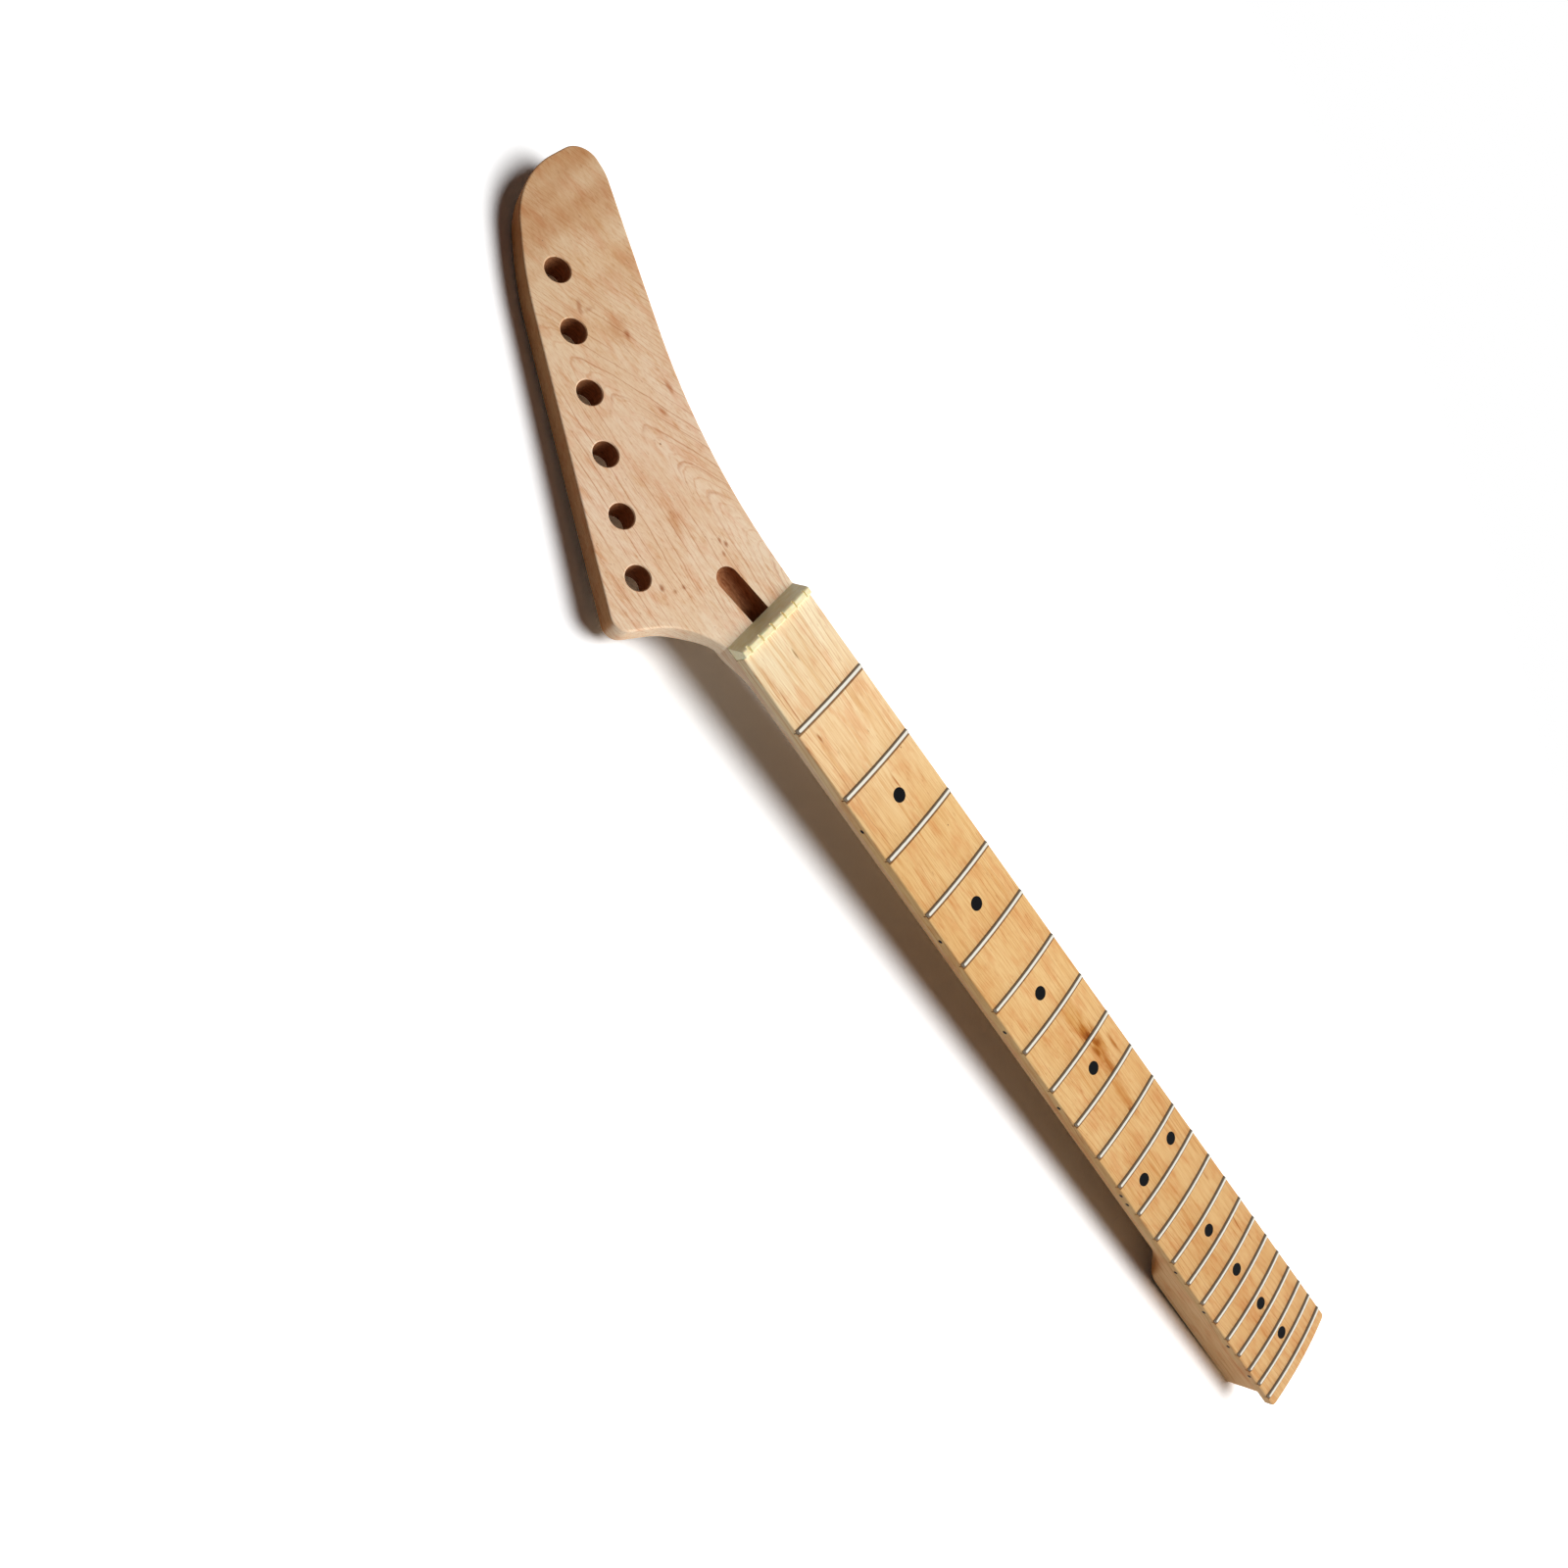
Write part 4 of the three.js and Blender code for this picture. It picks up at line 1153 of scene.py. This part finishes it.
# %% Small finishes
def small_finish(name, dark, pale, grain, rough, bump, **shader_inputs):
    """A finish with a soft pattern of two tones. grain gives features per millimetre, rough
    the least and most roughness, and bump the height of its grain in millimetres."""
    finish, tree = new_finish(name)
    place = add(tree, "TexCoord").outputs["Object"]
    scaled = add(tree, "Mapping", {0: place, 3: tuple(g * 1000 for g in grain)}).outputs[0]
    settings = {"Vector": scaled, "Scale": 1.0, "Detail": 4.0, "Roughness": 0.6}
    noise = add(tree, "TexNoise", settings).outputs[0]
    stops = [(0.3, linear(dark)), (0.7, linear(pale))]
    colour = add(tree, "ValToRGB", {0: noise}, stops=stops).outputs[0]
    worn = add(tree, "MapRange", {0: noise, 1: 0.3, 2: 0.7, 3: rough[0], 4: rough[1]}).outputs[0]
    raised = add(tree, "Bump", {"Height": noise, "Strength": 0.3, "Distance": bump * MM}).outputs[0]
    inputs = {"Base Color": colour, "Roughness": worn, "Normal": raised}
    inputs.update(shader_inputs)
    shader = add(tree, "BsdfPrincipled", inputs)
    add(tree, "OutputMaterial", {0: shader.outputs[0]})
    return finish


# The bored and routed walls are raw maple, rough and without a sheen. Their brown is partly the cut wood's
# own tone and partly painted shade in the holes and the slot.
bored_maple_and_shade = small_finish(
    "bored_maple_and_shade", "#8b5434", "#c0885f", (0.3, 1.2, 1.2), (0.6, 0.75), 0.05,
    **{"IOR": 1.5, "Specular IOR Level": 0.2},
)
# Bone lets a little light in, so its edges look soft, and long pores run along the nut.
bone = small_finish(
    "bleached_bone", "#f4e1a5", "#fff4cd", (0.9, 0.25, 0.9), (0.3, 0.45), 0.02,
    **{"IOR": 1.54, "Subsurface Weight": 0.15, "Subsurface Scale": 0.002},
)


# %% Fret metal
FILING_GRAIN = (6.0, 0.3, 6.0)
POLISH_AND_SHADE_START, POLISH_AND_SHADE_FULL = 1.03, 1.17


def fret_metal():
    """Nickel silver, bright on the polished crown and duller on the flanks below it, which take a painted
    shade and a painted dark reflection.
    """
    finish, tree = new_finish("polished_nickel_silver")
    place = add(tree, "TexCoord").outputs["Object"]
    mm = add(tree, "VectorMath", {0: place, "Scale": 1000.0}, operation="SCALE").outputs[0]
    axis = add(tree, "Mapping", {0: mm, 1: (0, 0, BOARD_RADIUS - HEEL_DEPTH), 3: (0, 1, 1)}).outputs[0]
    radius = add(tree, "VectorMath", {0: axis}, operation="LENGTH").outputs["Value"]
    height = add(tree, "Math", {0: radius, 1: BOARD_RADIUS}, operation="SUBTRACT").outputs[0]
    filing = add(tree, "Mapping", {0: mm, 3: FILING_GRAIN}).outputs[0]
    filing = add(tree, "TexNoise", {"Vector": filing, "Scale": 1.0, "Detail": 4.0}).outputs[0]
    ragged = add(tree, "Math", {0: filing, 1: 0.16, 2: height}, operation="MULTIPLY_ADD").outputs[0]
    limits = {0: ragged, 1: POLISH_AND_SHADE_START, 2: POLISH_AND_SHADE_FULL}
    polish_and_flank_shade = add(tree, "MapRange", limits, interpolation_type="SMOOTHSTEP").outputs[0]
    # Painted shade and reflection: the flanks take a dark tone, the crown a pale one.
    tones = {0: polish_and_flank_shade, 6: linear("#75695a"), 7: linear("#f2eddf")}
    tone = add(tree, "Mix", tones, data_type="RGBA").outputs[2]
    worn = add(tree, "MapRange", {0: polish_and_flank_shade, 3: 0.5, 4: 0.22}).outputs[0]
    raised = add(tree, "Bump", {"Height": filing, "Strength": 0.25, "Distance": 0.000004}).outputs[0]
    inputs = {"Base Color": tone, "Roughness": worn, "Normal": raised, "Metallic": 1.0}
    shader = add(tree, "BsdfPrincipled", inputs)
    add(tree, "OutputMaterial", {0: shader.outputs[0]})
    return finish


nickel_silver = fret_metal()

# %% Plastic, steel and brass
# The dots are cast plastic, sanded level with the wood, so they look dull and even.
inlay = small_finish(
    "black_inlay_plastic", "#0b0c0e", "#131416", (2.0, 2.0, 2.0), (0.4, 0.55), 0.01,
    **{"IOR": 1.5, "Specular IOR Level": 0.05},
)
# Black oxide is a thin brown-black skin on turned steel, with a faint oily sheen.
oxide_steel = small_finish(
    "black_oxide_steel", "#1c1b1b", "#33302e", (1.0, 3.0, 3.0), (0.3, 0.5), 0.01, Metallic=1.0
)
# Turned brass is yellow, with fine tool marks round it.
brass = small_finish(
    "turned_brass", "#a8843f", "#c9a55e", (4.0, 0.5, 0.5), (0.25, 0.4), 0.01, Metallic=1.0
)

# %% Finishes on their pieces
finish_of_slot = {
    "neck_maple": neck_finish,
    "board_maple": board_finish,
    "bone": bone,
    "nickel_silver": nickel_silver,
    "black_inlay": inlay,
    "black_steel": oxide_steel,
}
for slot, pieces in slots.items():
    for piece in pieces:
        piece.data.materials.clear()
        piece.data.materials.append(finish_of_slot[slot])
wood.data.materials.append(bored_maple_and_shade)
for face in cut_faces:
    face.material_index = 1
hidden_finishes = {
    "truss_fixed_bar": oxide_steel,
    "truss_turning_rod": oxide_steel,
    "truss_front_block": brass,
    "truss_rear_block": brass,
}
for node, finish in hidden_finishes.items():
    for holder in frame["nodes"][node].material_slots:
        holder.material = finish
print("pieces with a new finish:", sum(len(pieces) for pieces in slots.values()) + len(hidden_finishes))

# %% [markdown]
# ## The table, the light and the camera
#
# The neck lies as a real one would: on the end of its heel and on the bass edge of its
# headstock, rolled a little to that side. So the table is a plane that touches those three
# points. The camera sees a whiter table than the light does, which keeps the picture's
# background white and the shadow's depth.
#
# One big round lamp high on the treble side gives the soft shadow on the bass side. A
# second, cooler lamp low past the heel lights the neck alone. It stands for the white walls
# of a studio, which brighten the neck's long side without washing out its shadow.

# %% The table
# The way up from the table and the heel's touching corner, seen from the neck.
up = Vector((-0.0209, 0.2263, 0.9738)).normalized()
touching = Vector((36.5, -26.3, 0)) * MM
TABLE_GAP = 0.2
table_level = touching.dot(up)
turned = Vector((0, 0, 1)).rotation_difference(up).to_matrix().to_4x4()
bm = bmesh.new()
bmesh.ops.create_grid(bm, x_segments=1, y_segments=1, size=3.0)
table_place = Matrix.Translation(up * (table_level - TABLE_GAP * MM)) @ turned
bmesh.ops.transform(bm, matrix=table_place, verts=bm.verts)
table = object_from("table", bm)
if table.data.polygons[0].normal.dot(up) < 0:
    table.data.flip_normals()
print("table level:", round(table_level / MM, 2), "mm")

# %% White paper
# Studio paper is matt and even. It fades out at its rim and can't be seen from below.
PAPER_FOR_LIGHT, PAPER_FOR_CAMERA = 0.47, 1.42
FADE_MIDDLE, FADE_START, FADE_END = (0.28, 0, 0), 0.5, 0.85
table_finish, tree = new_finish("white_paper")
tones = {0: seen_by_camera(tree), 6: grey(PAPER_FOR_LIGHT), 7: grey(PAPER_FOR_CAMERA)}
paper = add(tree, "Mix", tones, data_type="RGBA").outputs[2]
matt = add(tree, "BsdfDiffuse", {"Color": paper}).outputs[0]
through = add(tree, "BsdfTransparent").outputs[0]
behind = add(tree, "NewGeometry").outputs["Backfacing"]
from_middle = add(tree, "TexCoord").outputs["Object"]
from_middle = add(tree, "Mapping", {0: from_middle, 1: FADE_MIDDLE}).outputs[0]
from_middle = add(tree, "VectorMath", {0: from_middle}, operation="LENGTH").outputs["Value"]
limits = {0: from_middle, 1: FADE_START, 2: FADE_END}
rim = add(tree, "MapRange", limits, interpolation_type="SMOOTHSTEP").outputs[0]
gone = add(tree, "Math", {0: behind, 1: rim}, operation="MAXIMUM").outputs[0]
surface = add(tree, "MixShader", {0: gone, 1: matt, 2: through}).outputs[0]
add(tree, "OutputMaterial", {0: surface})
table.data.materials.append(table_finish)

# %% The room
WORLD_FOR_LIGHT, WORLD_FOR_CAMERA = 0.016, 1.0
world = bpy.data.worlds.new("studio")
bpy.context.scene.world = world
world.use_nodes = True
tree = world.node_tree
tree.nodes.clear()
strengths = {0: seen_by_camera(tree), 3: WORLD_FOR_LIGHT, 4: WORLD_FOR_CAMERA}
strength = add(tree, "MapRange", strengths).outputs[0]
sky = add(tree, "Background", {"Color": grey(1.0), "Strength": strength}).outputs[0]
add(tree, "OutputWorld", {0: sky})


# %% The lamps
def round_lamp(name, energy, size, target, way, distance):
    """A round lamp that looks at the target from a distance along a way."""
    lamp = bpy.data.lights.new(name, "AREA")
    lamp.shape = "DISK"
    lamp.size = size
    lamp.energy = energy
    holder = bpy.data.objects.new(name, lamp)
    holder.location = target + Vector(way).normalized() * distance
    holder.rotation_euler = (holder.location - target).to_track_quat("Z", "Y").to_euler()
    holder.visible_glossy = False
    bpy.context.scene.collection.objects.link(holder)
    return holder


middle_of_neck = (Vector(cad_box[0]) + Vector(cad_box[1])) / 2
origin = Vector((0, 0, 0))
round_lamp("key", energy=69.5, size=1.9, target=middle_of_neck, way=(0.35, 0.4, 1.0), distance=2.4)
fill_holder = round_lamp("fill", energy=20, size=0.9, target=origin, way=(1.0, -0.6, 0.3), distance=1.6)
fill_holder.data.color = (0.86, 0.93, 1.0)
lit_by_fill = bpy.data.collections.new("lit_by_fill")
for thing in bpy.context.scene.objects:
    if thing.type == "MESH" and thing != table:
        lit_by_fill.objects.link(thing)
fill_holder.light_linking.receiver_collection = lit_by_fill

# %% The camera
# Its lens, shift and place were fitted to the photo, with the frets as the ruler.
lens = bpy.data.cameras.new("camera")
lens.sensor_width = 36
lens.lens = 33.482
lens.shift_x = -0.02753
lens.shift_y = 0.06363
lens.clip_start = 0.01
camera = bpy.data.objects.new("camera", lens)
camera.location = Vector((-567.1, -295.5, 489.3)) * MM
camera.rotation_euler = [math.radians(a) for a in (-0.0823, -35.9244, 46.7472)]
bpy.context.scene.collection.objects.link(camera)
bpy.context.scene.camera = camera
bpy.context.scene.view_settings.view_transform = "Standard"

# %% Sizes out, and finish
print("CAD box:", [[round(v, 4) for v in c] for c in cad_box])
